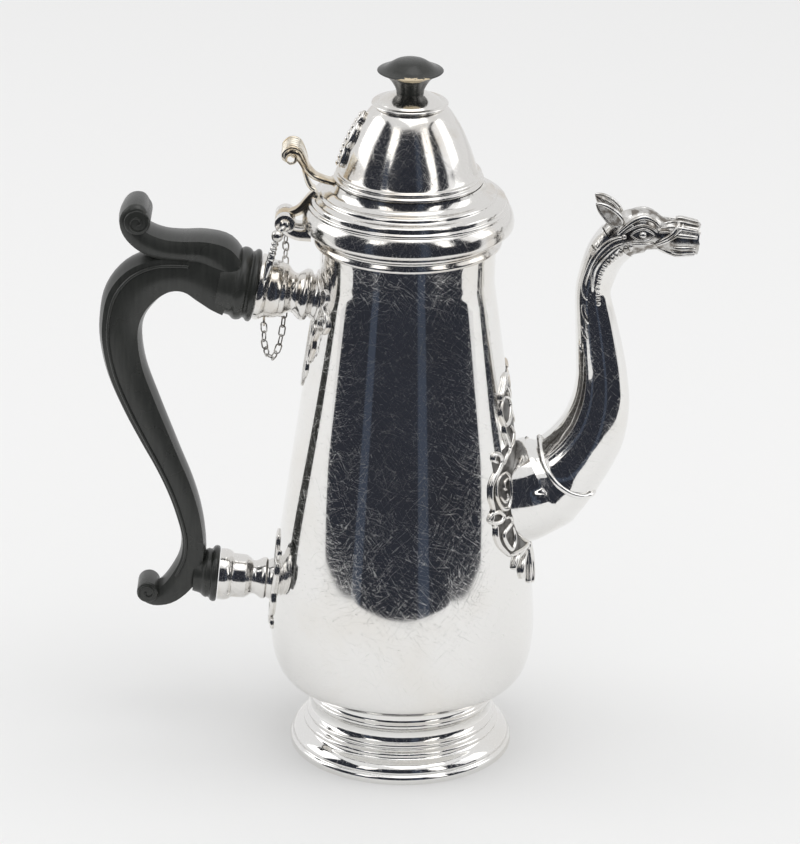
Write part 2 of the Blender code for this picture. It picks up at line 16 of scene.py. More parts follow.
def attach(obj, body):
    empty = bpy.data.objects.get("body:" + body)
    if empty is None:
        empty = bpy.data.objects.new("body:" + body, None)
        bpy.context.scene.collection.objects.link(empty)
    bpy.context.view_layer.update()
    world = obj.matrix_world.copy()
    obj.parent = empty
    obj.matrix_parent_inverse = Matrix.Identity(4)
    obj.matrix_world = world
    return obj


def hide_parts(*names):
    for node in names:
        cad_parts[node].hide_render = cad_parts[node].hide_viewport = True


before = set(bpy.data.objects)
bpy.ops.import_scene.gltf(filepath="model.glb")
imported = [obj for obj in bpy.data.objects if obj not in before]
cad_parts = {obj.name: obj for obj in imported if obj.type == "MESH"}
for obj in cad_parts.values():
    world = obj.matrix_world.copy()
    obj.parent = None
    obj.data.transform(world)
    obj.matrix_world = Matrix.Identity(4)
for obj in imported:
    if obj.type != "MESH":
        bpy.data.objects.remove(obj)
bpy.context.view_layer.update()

MM = 0.001  # shapes are drawn in millimetres, and the frame is in metres
AXIS_X = 2.9  # the pot's own axis; every x of a drawing is measured from it

# %% [markdown]
# ## Stage: camera, table and the room that the silver sees
#
# Polished silver shows nothing of itself: it shows the room. So the room is built before
# the metal. The table is a pale sheet that is wide behind the pot and narrow in front of it,
# and the pale world beyond it is the backdrop. Behind the camera stands the dark side of the
# studio, with two faint strips in it and two bright windows high at its sides. The pot's
# front reflects the dark side, its belly and flanks the pale table and world. A ready-made
# surround image would do this too, but plain panels need no file and are easy to move.

# %% Camera
LOOK_DOWN = 22.55  # degrees below level
LEAN = 0.86  # degrees that the view is turned about its own line
camera_data = bpy.data.cameras.new("camera")
camera = bpy.data.objects.new("camera", camera_data)
bpy.context.scene.collection.objects.link(camera)
bpy.context.scene.camera = camera
camera_data.sensor_fit = "VERTICAL"
camera_data.sensor_height = 36.0
camera_data.lens = 198.95
camera_data.clip_end = 20.0
camera.location = (0.0011, -1.5339, 0.7611)
pitch = Matrix.Rotation(math.radians(90.0 - LOOK_DOWN), 4, "X")
roll = Matrix.Rotation(math.radians(LEAN), 4, "Z")
camera.rotation_euler = (pitch @ roll).to_euler()
print("camera at", tuple(round(v, 3) for v in camera.location))

# %% The stage's helpers
def stage_material(name, colour, glow=0.0):
    """A plain matt finish for the stage, or a glowing panel."""
    finish = bpy.data.materials.new(name)
    finish.use_nodes = True
    shader = finish.node_tree.nodes["Principled BSDF"]
    shader.inputs["Base Color"].default_value = (*colour, 1.0)
    shader.inputs["Roughness"].default_value = 0.9
    shader.inputs["Specular IOR Level"].default_value = 0.1
    shader.inputs["Emission Color"].default_value = (*colour, 1.0)
    shader.inputs["Emission Strength"].default_value = glow
    return finish


def panel(name, centre, facing, size, finish, seen=False):
    """A flat stage panel that faces `facing`, hidden from the camera unless `seen`."""
    bpy.ops.object.select_all(action="DESELECT")
    turn = Vector(facing).to_track_quat("Z", "Y").to_euler()
    bpy.ops.mesh.primitive_plane_add(size=1.0, location=centre, rotation=turn)
    card = bpy.context.object
    card.name = name
    card.scale = (size[0], size[1], 1.0)
    card.data.materials.append(finish)
    card.visible_camera = seen
    card.visible_shadow = False
    card.visible_diffuse = False
    return card


# %% Table, dark side of the room, strips and windows
bpy.ops.object.select_all(action="DESELECT")
bpy.ops.mesh.primitive_circle_add(vertices=8, radius=1.0, fill_type="NGON")
table = bpy.context.object
table.name = "table"
table_outline = [(-0.30, -0.35), (0.30, -0.35), (0.42, -0.14), (2.3, 0.30), (2.3, 3.9), (-2.3, 3.9),
                 (-2.3, 0.30), (-0.42, -0.14)]
for vertex, (x, y) in zip(table.data.vertices, table_outline):
    vertex.co = (x, y, 0.0)
table.data.materials.append(stage_material("table_white", (0.86, 0.86, 0.855)))

dark = stage_material("room_dark", (0.018, 0.020, 0.027), 0.5)
strip = stage_material("strip_glow", (0.034, 0.042, 0.060), 0.6)
window = stage_material("window_glow", (1.0, 0.99, 0.97), 0.75)
panel("dark_front", (0.0, -2.2, 0.5), (0.0, 1.0, 0.0), (5.0, 4.2), dark)
panel("dark_left", (-2.2, -1.25, 0.5), (1.0, 0.0, 0.0), (2.0, 4.2), dark)
panel("dark_right", (2.3, -1.25, 0.5), (-1.0, 0.0, 0.0), (2.0, 4.2), dark)
panel("strip_left", (-1.75, -2.0, 0.7), (0.6, 1.0, 0.0), (0.42, 3.2), strip)
panel("strip_right", (0.70, -2.15, 0.7), (-0.3, 1.0, 0.0), (0.42, 3.2), strip)
panel("window_left", (-1.55, -2.05, 1.65), (0.6, 1.0, -0.3), (0.90, 1.9), window)
panel("window_right", (1.75, -1.95, 1.65), (-0.8, 1.0, -0.3), (0.80, 1.9), window)

# %% World and soft lights
world = bpy.data.worlds.new("studio")
bpy.context.scene.world = world
world.use_nodes = True
world.node_tree.nodes["Background"].inputs["Color"].default_value = (0.965, 0.965, 0.97, 1.0)
world.node_tree.nodes["Background"].inputs["Strength"].default_value = 0.86
bpy.context.scene.view_settings.view_transform = "Standard"


def soft_light(name, place, aim, size, power):
    """A large square lamp that points at `aim`."""
    lamp_data = bpy.data.lights.new(name, "AREA")
    lamp_data.size = size
    lamp_data.energy = power
    lamp = bpy.data.objects.new(name, lamp_data)
    bpy.context.scene.collection.objects.link(lamp)
    lamp.location = place
    lamp.rotation_euler = (Vector(aim) - Vector(place)).to_track_quat("-Z", "Y").to_euler()
    return lamp


soft_light("top_softbox", (0.2, -0.3, 1.7), (0, 0, 0.1), 1.2, 5.0)
soft_light("left_softbox", (-1.5, 0.2, 0.9), (0, 0, 0.1), 1.0, 4.0)
soft_light("right_softbox", (1.5, -0.1, 0.9), (0, 0, 0.1), 1.0, 3.2)

# %% [markdown]
# ## Finishes
#
# Old silver has three things on it: a mirror polish, a haze of fine swirling scratches from
# years of polishing cloths, and a thin warm tarnish where a cloth can't reach. The scratches
# and the tarnish are wanted on every silver piece, so each is made once as a node group and
# then placed in each finish with its own values. The groups put out only masks and heights.

# %% Helpers for nodes
def wire(tree, *links):
    """Join (node, output) to (node, input), pair by pair."""
    for (source, output), (target, socket) in links:
        tree.links.new(source.outputs[output], target.inputs[socket])


def add_node(tree, kind, inputs=None, **settings):
    """A new shader node with its settings, and with values on its inputs."""
    node = tree.nodes.new("ShaderNode" + kind)
    for setting, value in settings.items():
        setattr(node, setting, value)
    for socket, value in (inputs or {}).items():
        node.inputs[socket].default_value = value
    return node


def new_group(name, inputs, outputs):
    """A shader node group with float inputs that have defaults, and float outputs."""
    group = bpy.data.node_groups.new(name, "ShaderNodeTree")
    group.interface.new_socket("Vector", in_out="INPUT", socket_type="NodeSocketVector")
    for socket, value in inputs.items():
        made = group.interface.new_socket(socket, in_out="INPUT", socket_type="NodeSocketFloat")
        made.default_value = value
    for socket in outputs:
        group.interface.new_socket(socket, in_out="OUTPUT", socket_type="NodeSocketFloat")
    return group, group.nodes.new("NodeGroupInput"), group.nodes.new("NodeGroupOutput")


# %% [markdown]
# A scratch is where a smooth noise crosses its own middle value: the crossing is a thin line.
# Three such noises are stretched in three directions, and a slower noise bends them, so that
# the lines run every way and curve a little, as the marks of a cloth do. A picture of
# scratches could be used, but it would repeat, and noise doesn't.

# %% Group: fine scratches
def make_scratches():
    """Thin lines that swirl over the surface, out of three stretched and warped noises."""
    group, given, result = new_group("fine_scratches", {"Scale": 700.0, "Thinness": 0.007}, ["Lines"])
    warp = add_node(group, "TexNoise", {"Scale": 40.0})
    bend = add_node(group, "VectorMath", {1: (0.012, 0.012, 0.012)}, operation="MULTIPLY_ADD")
    wire(group, ((given, "Vector"), (warp, "Vector")), ((warp, "Color"), (bend, 0)),
         ((given, "Vector"), (bend, 2)))
    layers = []
    for tilt in (0.7, -0.6, 2.2):
        aim = {"Rotation": (tilt * 0.4, tilt, tilt * 0.5), "Scale": (1.0, 9.0, 16.0)}
        turn = add_node(group, "Mapping", aim, vector_type="TEXTURE")
        line = add_node(group, "TexNoise", {"Detail": 2.0})
        middle = add_node(group, "Math", {1: 0.5}, operation="SUBTRACT")
        size = add_node(group, "Math", operation="ABSOLUTE")
        thin = add_node(group, "MapRange", {"From Min": 0.0, "To Min": 1.0, "To Max": 0.0})
        wire(group, ((bend, 0), (turn, "Vector")), ((turn, "Vector"), (line, "Vector")),
             ((given, "Scale"), (line, "Scale")), ((line, "Fac"), (middle, 0)), ((middle, 0), (size, 0)),
             ((size, 0), (thin, "Value")), ((given, "Thinness"), (thin, "From Max")))
        layers.append(thin)
    both = add_node(group, "Math", operation="MAXIMUM")
    every = add_node(group, "Math", operation="MAXIMUM")
    wire(group, ((layers[0], "Result"), (both, 0)), ((layers[1], "Result"), (both, 1)),
         ((both, 0), (every, 0)), ((layers[2], "Result"), (every, 1)), ((every, 0), (result, "Lines")))
    return group


scratches = make_scratches()
print("group:", scratches.name)


# %% Group: patches
def make_patches():
    """Soft cloudy patches, used for tarnish and for wear."""
    group, given, result = new_group("soft_patches", {"Scale": 40.0, "Low": 0.5, "High": 0.7}, ["Mask"])
    cloud = add_node(group, "TexNoise", {"Detail": 5.0})
    ramp = add_node(group, "MapRange")
    wire(group, ((given, "Vector"), (cloud, "Vector")), ((given, "Scale"), (cloud, "Scale")),
         ((cloud, "Fac"), (ramp, "Value")), ((given, "Low"), (ramp, "From Min")),
         ((given, "High"), (ramp, "From Max")), ((ramp, "Result"), (result, "Mask")))
    return group


patches = make_patches()
print("group:", patches.name)

# %% [markdown]
# A silver finish mixes its clean colour with a darker, warmer one where the patches fall.
# The scratches raise the roughness a little and feed a very small bump, so that a bright
# reflection breaks into a fine haze, as it does on a piece that is used. There are six: the
# polished plate, the trim that gathers more tarnish, castings, the dark castings of the head
# and chain, the yellower metal round the hinge, and a near-black one that paints the shade,
# with some tarnish, in the openings between the scrolls.

# %% Silver finishes
def place_group(tree, group, coords, **values):
    """Put a group in a material, with its own values."""
    node = add_node(tree, "Group", node_tree=group)
    tree.links.new(coords.outputs["Object"], node.inputs["Vector"])
    for socket, value in values.items():
        node.inputs[socket].default_value = value
    return node


def silver_finish(name, clean, tarnish, rough, scratched, patch, bump, scale=700.0):
    """Polished silver with tarnish in patches (scale, low, high) and fine scratches."""
    finish = bpy.data.materials.new(name)
    finish.use_nodes = True
    tree = finish.node_tree
    shader = tree.nodes["Principled BSDF"]
    shader.inputs["Metallic"].default_value = 1.0
    coords = add_node(tree, "TexCoord")
    lines = place_group(tree, scratches, coords, Scale=scale)
    spots = place_group(tree, patches, coords, Scale=patch[0], Low=patch[1], High=patch[2])
    blend = add_node(tree, "Mix", {"A": (*clean, 1.0), "B": (*tarnish, 1.0)}, data_type="RGBA")
    haze = add_node(tree, "MapRange", {"To Min": rough, "To Max": scratched})
    relief = add_node(tree, "Bump", {"Strength": bump, "Distance": 0.02 * MM})
    wire(tree, ((spots, "Mask"), (blend, "Factor")), ((blend, "Result"), (shader, "Base Color")),
         ((lines, "Lines"), (haze, "Value")), ((haze, "Result"), (shader, "Roughness")),
         ((lines, "Lines"), (relief, "Height")), ((relief, "Normal"), (shader, "Normal")))
    return finish


plate_silver = silver_finish("plate_silver", clean=(0.87, 0.862, 0.845), tarnish=(0.82, 0.795, 0.75),
                             rough=0.055, scratched=0.34, patch=(30.0, 0.5, 0.8), bump=0.05)
trim_silver = silver_finish("trim_silver", clean=(0.81, 0.795, 0.77), tarnish=(0.66, 0.60, 0.52),
                            rough=0.12, scratched=0.34, patch=(60.0, 0.5, 0.75), bump=0.08)
cast_silver = silver_finish("cast_silver", clean=(0.80, 0.79, 0.77), tarnish=(0.40, 0.38, 0.35),
                            rough=0.12, scratched=0.26, patch=(220.0, 0.45, 0.65), bump=0.3, scale=1200.0)
dark_silver = silver_finish("dark_silver", clean=(0.62, 0.61, 0.59), tarnish=(0.22, 0.20, 0.18),
                            rough=0.18, scratched=0.32, patch=(350.0, 0.45, 0.6), bump=0.3, scale=1400.0)
warm_silver = silver_finish("warm_silver", clean=(0.84, 0.79, 0.69), tarnish=(0.60, 0.49, 0.34),
                            rough=0.14, scratched=0.30, patch=(130.0, 0.42, 0.62), bump=0.2, scale=1200.0)
# painted shade with some tarnish: near-black silver for the sheets that fill the openings between the scrolls
tarnish_and_shade_silver = silver_finish("tarnish_and_shade_silver", clean=(0.16, 0.155, 0.15), tarnish=(0.06, 0.055, 0.05),
                           rough=0.38, scratched=0.55, patch=(350.0, 0.45, 0.6), bump=0.3, scale=1400.0)
silver_finishes = (plate_silver, trim_silver, cast_silver, dark_silver, warm_silver, tarnish_and_shade_silver)
print("finishes:", [finish.name for finish in silver_finishes])

# %% [markdown]
# The handle and knob are a pale hardwood stained black. The stain has worn to a satin, the
# grain shows as faint streaks along the handle, and on the knob a patch of the stain has
# chipped away at the front of the brim, which lets the cream-coloured wood show. The patch
# is a distance from a point, made ragged by a noise and then cut off sharply: a painted mask
# would need an image, and this needs only a centre and a reach.

# %% Ebonised wood
def wood_finish(name, stretch, chip=None):
    """Black-stained wood; `chip` is the (centre, reach) of a bare patch, in metres."""
    finish = bpy.data.materials.new(name)
    finish.use_nodes = True
    tree = finish.node_tree
    shader = tree.nodes["Principled BSDF"]
    coords = add_node(tree, "TexCoord")
    along = add_node(tree, "Mapping", {"Scale": stretch})
    grain = add_node(tree, "TexNoise", {"Scale": 900.0, "Detail": 4.0})
    stain = add_node(tree, "Mix", {"A": (0.010, 0.011, 0.010, 1.0), "B": (0.036, 0.038, 0.034, 1.0)},
                     data_type="RGBA")
    worn = place_group(tree, patches, coords, Scale=45.0, Low=0.45, High=0.75)
    satin = add_node(tree, "MapRange", {"To Min": 0.26, "To Max": 0.40})
    relief = add_node(tree, "Bump", {"Strength": 0.25, "Distance": 0.05 * MM})
    wire(tree, ((coords, "Object"), (along, "Vector")), ((along, "Vector"), (grain, "Vector")),
         ((grain, "Fac"), (stain, "Factor")), ((worn, "Mask"), (satin, "Value")),
         ((satin, "Result"), (shader, "Roughness")), ((grain, "Fac"), (relief, "Height")),
         ((relief, "Normal"), (shader, "Normal")))
    if not chip:
        wire(tree, ((stain, "Result"), (shader, "Base Color")))
        return finish
    centre, reach = chip
    place = {"Location": [-c / r for c, r in zip(centre, reach)], "Scale": [1 / r for r in reach]}
    shift = add_node(tree, "Mapping", place)
    far = add_node(tree, "VectorMath", operation="LENGTH")
    ragged = add_node(tree, "TexNoise", {"Scale": 420.0, "Detail": 4.0})
    uneven = add_node(tree, "Math", {1: 1.3}, operation="MULTIPLY_ADD")
    edge = add_node(tree, "MapRange", {"From Min": 1.60, "From Max": 1.66, "To Min": 1.0, "To Max": 0.0})
    bare = add_node(tree, "Mix", {"B": (0.62, 0.52, 0.36, 1.0)}, data_type="RGBA")
    wire(tree, ((coords, "Object"), (shift, "Vector")), ((shift, "Vector"), (far, 0)),
         ((coords, "Object"), (ragged, "Vector")), ((ragged, "Fac"), (uneven, 0)),
         ((far, "Value"), (uneven, 2)), ((uneven, 0), (edge, "Value")),
         ((edge, "Result"), (bare, "Factor")), ((stain, "Result"), (bare, "A")),
         ((bare, "Result"), (shader, "Base Color")))
    return finish


bare_patch = ((0.0038, -0.0105, 0.2550), (0.0068, 0.0050, 0.0013))
handle_wood = wood_finish("handle_wood", stretch=(1.0, 0.25, 0.12))
knob_wood = wood_finish("knob_wood", stretch=(1.0, 1.0, 0.3), chip=bare_patch)
print("finishes:", handle_wood.name, knob_wood.name)

# %% [markdown]
# ## Turned silver
#
# The body, foot, lid and mouldings are raised and turned round one axis, so each is made the
# way a spinner thinks of it: one outline, spun. A point is drawn along the outline by
# extrusion in edit mode, and the spin operator takes the line round the axis. A spun mesh can
# come out inside out, so its doubles are merged and its normals made to agree at the end.
# Facets would show at once in a mirror polish, so the outlines are first rounded by a curve
# through their points, and the spin has many steps.

# %% Helpers for outlines
def flowing(points, steps=4):
    """More points along a smooth curve through the given ones."""
    points = [tuple(p) for p in points]
    ends = [points[0]] + points + [points[-1]]
    drawn = []
    for a, b, c, d in zip(ends, ends[1:], ends[2:], ends[3:]):
        for k in range(steps):
            t = k / steps
            drawn.append(tuple(0.5 * (2 * q + (r - p) * t + (2 * p - 5 * q + 4 * r - s) * t * t
                                      + (3 * q - p - 3 * r + s) * t ** 3) for p, q, r, s in zip(a, b, c, d)))
    return drawn + [points[-1]]


def deselect():
    """Back to object mode with nothing selected."""
    if bpy.context.object and bpy.context.object.mode != "OBJECT":
        bpy.ops.object.mode_set(mode="OBJECT")
    bpy.ops.object.select_all(action="DESELECT")


def pick(piece):
    """Select one object alone and make it active."""
    deselect()
    piece.select_set(True)
    bpy.context.view_layer.objects.active = piece


def with_modifier(piece, kind, **settings):
    """Add a modifier with its settings, and apply it."""
    pick(piece)
    modifier = piece.modifiers.new(kind.lower(), kind)
    for setting, value in settings.items():
        setattr(modifier, setting, value)
    bpy.ops.object.modifier_apply(modifier=modifier.name)
    return piece


MERGE_WITHIN = 0.002 * MM


def settle(piece, name, finish, body, nodes=(), angle=38.0):
    """Merge doubles, point faces outwards, shade, and put the piece on its body."""
    pick(piece)
    piece.name = name
    bpy.ops.object.transform_apply(location=True, rotation=True, scale=True)
    bpy.ops.object.mode_set(mode="EDIT")
    bpy.ops.mesh.select_all(action="SELECT")
    bpy.ops.mesh.remove_doubles(threshold=MERGE_WITHIN)
    bpy.ops.mesh.normals_make_consistent(inside=False)
    bpy.ops.object.mode_set(mode="OBJECT")
    bpy.ops.object.shade_smooth_by_angle(angle=math.radians(angle))
    piece.data.materials.clear()
    piece.data.materials.append(finish)
    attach(piece, body)
    if nodes:
        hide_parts(*nodes)
    print(name, "has", len(piece.data.polygons), "faces")
    return piece


# %% Helper that spins
def spin_up(outline, sides=128, axis_x=AXIS_X):
    """Draw a point along an outline of (radius, height) in millimetres, then spin the line."""
    deselect()
    radius, height = outline[0]
    bpy.ops.mesh.primitive_plane_add(size=0.1 * MM, location=((axis_x + radius) * MM, 0.0, height * MM))
    bpy.ops.object.transform_apply(location=True)
    bpy.ops.object.mode_set(mode="EDIT")
    bpy.ops.mesh.select_all(action="SELECT")
    bpy.ops.mesh.merge(type="CENTER")
    for (r0, z0), (r1, z1) in zip(outline, outline[1:]):
        step = ((r1 - r0) * MM, 0.0, (z1 - z0) * MM)
        bpy.ops.mesh.extrude_region_move(TRANSFORM_OT_translate={"value": step})
    bpy.ops.mesh.select_all(action="SELECT")
    bpy.ops.mesh.spin(steps=sides, angle=2 * math.pi, center=(axis_x * MM, 0.0, 0.0), axis=(0.0, 0.0, 1.0))
    bpy.ops.object.mode_set(mode="OBJECT")
    return bpy.context.object


# %% [markdown]
# The body tapers up from a low rounded belly. It has a real wall, so that the inside is
# there when the lid is open, and seven strainer holes where the spout leaves it. The holes
# are cut with Boolean, because a spun wall has no edges of its own where they fall.

# %% Body
body_out = [(31.0, 198.2), (31.0, 192.5), (30.9, 187.5), (30.85, 182.5), (31.0, 177.0), (32.4, 167.0),
            (39.4, 117.6), (44.6, 80.0), (46.2, 68.0), (47.2, 57.0), (47.6, 48.5), (47.2, 41.0),
            (46.2, 35.3), (44.4, 30.7), (41.5, 27.8), (37.5, 26.7), (32.5, 26.2), (16.0, 25.8), (0.0, 25.7)]
body_in = [(0.0, 26.8), (16.0, 26.9), (37.2, 27.8), (43.4, 31.4), (45.8, 39.0), (46.4, 48.5), (45.2, 68.0),
           (38.4, 117.6), (30.0, 177.0), (29.8, 182.5), (29.9, 192.5), (29.9, 198.2)]
body_wall = flowing(body_out, 6) + flowing(body_in, 3) + [body_out[0]]
body = settle(spin_up(body_wall, 160), "silver_body", plate_silver, "pot", ["body_shell"])


# %% Strainer holes
HOLE_RADIUS, RING_RADIUS, RING_X, RING_Z = 1.6, 7.0, 41.5, 100.4
for number in range(7):
    turn = number * math.pi / 3
    reach = RING_RADIUS if number < 6 else 0.0
    deselect()
    place = ((AXIS_X + RING_X) * MM, reach * math.cos(turn) * MM, (RING_Z + reach * math.sin(turn)) * MM)
    bpy.ops.mesh.primitive_cylinder_add(vertices=24, radius=HOLE_RADIUS * MM, depth=12 * MM, location=place,
                                        rotation=(0.0, math.pi / 2, 0.0))
    drill = bpy.context.object
    with_modifier(body, "BOOLEAN", solver="EXACT", object=drill)
    bpy.data.objects.remove(drill)
print("body after drilling:", len(body.data.polygons), "faces")

# %% [markdown]
# The foot is a hollow ring of small steps and hollows that spreads to the table, and a bead
# of the same kind stiffens the mouth. They could be built up from separate tori, but one
# spun outline gives every fillet between the steps at once.

# %% Foot
foot_out = [(32.6, 25.8), (32.6, 22.2), (33.0, 21.0), (33.8, 20.2), (33.9, 19.4), (33.4, 18.4),
            (32.7, 17.7), (32.3, 16.5), (32.3, 15.2), (32.7, 13.8), (33.3, 13.0), (34.0, 12.4),
            (34.1, 11.6), (33.7, 10.9), (34.2, 10.3), (35.1, 9.7), (35.4, 9.0), (35.2, 8.3), (35.9, 7.5),
            (37.6, 6.4), (38.8, 5.2), (39.4, 4.0), (39.2, 3.2), (39.9, 2.6), (40.3, 1.6), (40.2, 0.0)]
foot_in = [(38.4, 0.0), (36.0, 5.2), (32.4, 9.6), (31.2, 13.0), (31.2, 25.8)]
foot = spin_up(flowing(foot_out, 4) + flowing(foot_in, 2) + [foot_out[0]], 128)
settle(foot, "spread_foot", plate_silver, "pot", ["foot"])

# %% Rim moulding
rim_out = [(31.7, 198.3), (32.8, 198.3), (33.3, 197.6), (33.2, 196.7), (32.6, 196.0), (32.4, 195.4),
           (32.7, 194.8), (33.1, 194.0), (33.0, 193.2), (32.4, 192.7), (31.8, 192.6)]
rim = spin_up(flowing(rim_out, 5) + [rim_out[0]], 128)
settle(rim, "rim_bead", trim_silver, "pot", ["rim_moulding"])

# %% [markdown]
# The lid is a bell-shaped dome on a broad moulded flange. A thin sleeve under it, the bezel,
# drops inside the mouth. They are separate raisings soldered together, so they are made as
# three pieces here too.

# %% Lid dome
dome_out = [(1.9, 243.2), (10.0, 243.2), (11.8, 243.2), (12.8, 242.5), (14.8, 240.3), (18.3, 234.5),
            (21.3, 227.8), (23.3, 221.8), (24.1, 219.6), (24.6, 219.1), (25.3, 219.0), (25.6, 218.4),
            (25.4, 217.8), (25.7, 217.4), (26.1, 217.1), (26.2, 216.6), (26.0, 216.2)]
dome_in = [(25.0, 216.2), (24.0, 217.6), (22.3, 221.6), (20.3, 227.4), (17.4, 233.9), (14.1, 239.4),
           (11.6, 241.9), (1.9, 242.1)]
dome = spin_up(flowing(dome_out, 5) + flowing(dome_in, 3) + [dome_out[0]], 128)
settle(dome, "domed_lid", trim_silver, "lid", ["lid_dome"])

# %% Lid flange
flange_out = [(26.1, 215.9), (26.4, 214.6), (27.4, 213.0), (28.8, 212.2), (30.2, 211.9), (30.8, 211.4),
              (31.1, 210.6), (31.9, 210.2), (33.2, 209.9), (34.0, 209.4), (34.3, 208.6), (34.4, 207.8),
              (35.0, 207.4), (35.2, 206.9), (35.1, 206.3), (35.7, 205.6), (36.5, 204.2), (37.0, 202.4),
              (37.15, 200.6), (36.9, 199.6), (36.0, 198.8)]
flange_in = [(30.2, 198.8), (30.2, 200.4), (33.6, 202.0), (33.4, 206.0), (27.8, 210.8), (25.1, 215.9)]
flange = spin_up(flowing(flange_out, 5) + flange_in + [flange_out[0]], 144)
settle(flange, "lid_flange_moulded", trim_silver, "lid", ["lid_flange"])

# %% Lid bezel and finial plate
bezel = spin_up([(29.5, 200.2), (29.5, 193.0), (29.2, 192.2), (28.8, 192.0), (28.4, 192.2), (28.5, 200.2),
                 (29.5, 200.2)], 128)
settle(bezel, "bezel_sleeve", plate_silver, "lid", ["lid_bezel"])
plate_out = [(1.9, 247.8), (5.4, 247.7), (7.0, 247.1), (9.0, 246.1), (10.6, 245.1), (11.4, 244.4),
             (12.2, 244.6), (13.0, 244.5), (13.4, 244.0), (13.0, 243.5)]
plate = spin_up(flowing(plate_out, 4) + [(1.9, 243.5), (1.9, 247.8)], 96)
settle(plate, "finial_disc", trim_silver, "lid", ["finial_plate"])

# %% [markdown]
# The knob is a turned wooden mushroom on a silver disc, and a screw through the lid holds it
# from inside. Both are spun with the screw's hole open, so that wood and screw don't lie in
# the same place.

# %% Knob
knob_out = [(0.0, 260.0), (2.8, 259.8), (5.2, 259.2), (7.2, 258.0), (8.8, 256.9), (10.2, 256.3),
            (11.4, 255.9), (11.3, 255.5), (9.6, 254.8), (7.6, 253.2), (6.2, 251.4), (5.2, 249.6),
            (4.8, 248.2), (4.9, 246.8)]
knob = spin_up(flowing(knob_out, 5) + [(1.9, 246.8), (1.9, 252.5), (0.0, 252.5)], 96)
settle(knob, "mushroom_knob", knob_wood, "lid", ["finial_knob"])

# %% [markdown]
# ## Sockets and handle
#
# Two turned silver sockets hold the handle away from the hot body. They are spun like the
# rest and then laid over on their side, tilted up a little towards the handle.
#
# The handle is carved, not turned. A rounded-square outline is drawn out along its path: at
# each station the outline is extruded, turned to face the way the path goes, and scaled to
# the thickness the wood has there. In background mode the rotate operator turns the other
# way, so its angle is given with the opposite sign.

# %% Sockets
UPPER_SEAT = (-33.9, 171.9, 10.0)  # x and z where a socket stands on the body, and its rise in degrees
LOWER_SEAT = (-48.9, 62.4, 5.0)


def lay_over(piece, seat_x, seat_z, rise):
    """Tip a piece that was spun round Z onto its side, pointing to -X and rising."""
    pick(piece)
    piece.rotation_euler = (0.0, math.radians(rise - 90.0), 0.0)
    piece.location = ((AXIS_X + seat_x) * MM, 0.0, seat_z * MM)
    bpy.ops.object.transform_apply(location=True, rotation=True)
    return piece


upper_out = [(8.8, -3.2), (8.4, -1.2), (7.6, 0.0), (8.8, 0.7), (9.3, 1.8), (9.1, 3.0), (8.2, 4.2),
             (7.2, 5.4), (7.1, 6.4), (7.7, 7.6), (8.6, 8.5), (9.3, 9.2), (9.5, 10.2), (9.6, 10.8),
             (9.9, 11.2), (10.3, 12.8), (10.4, 15.2), (10.9, 16.0), (11.6, 17.0), (11.8, 18.0),
             (11.7, 19.0)]
upper_in = [(9.0, 19.0), (8.6, 10.2), (0.0, 10.2)]
upper_socket = spin_up([(0.0, -3.2)] + flowing(upper_out, 4) + upper_in, 96, 0.0)
settle(lay_over(upper_socket, *UPPER_SEAT), "socket_upper", trim_silver, "pot", ["upper_socket"])
lower_out = [(7.8, -3.4), (7.4, -1.2), (6.9, 0.0), (7.5, 0.7), (7.4, 1.8), (6.8, 3.0), (6.1, 4.3),
             (6.1, 5.4), (6.8, 6.3), (7.4, 7.2), (7.8, 7.9), (7.9, 9.5), (8.0, 12.4), (8.4, 13.0),
             (9.0, 14.0), (9.3, 15.4), (9.2, 17.4)]
lower_in = [(7.0, 17.4), (6.7, 8.6), (0.0, 8.6)]
lower_socket = spin_up([(0.0, -3.4)] + flowing(lower_out, 4) + lower_in, 96, 0.0)
settle(lay_over(lower_socket, *LOWER_SEAT), "socket_lower", trim_silver, "pot", ["lower_socket"])


# %% Helper that draws a section out along a path
def heading(before, after):
    """Angle of a step in the XZ plane, from +Z towards +X."""
    return math.atan2(after[0] - before[0], after[1] - before[1])


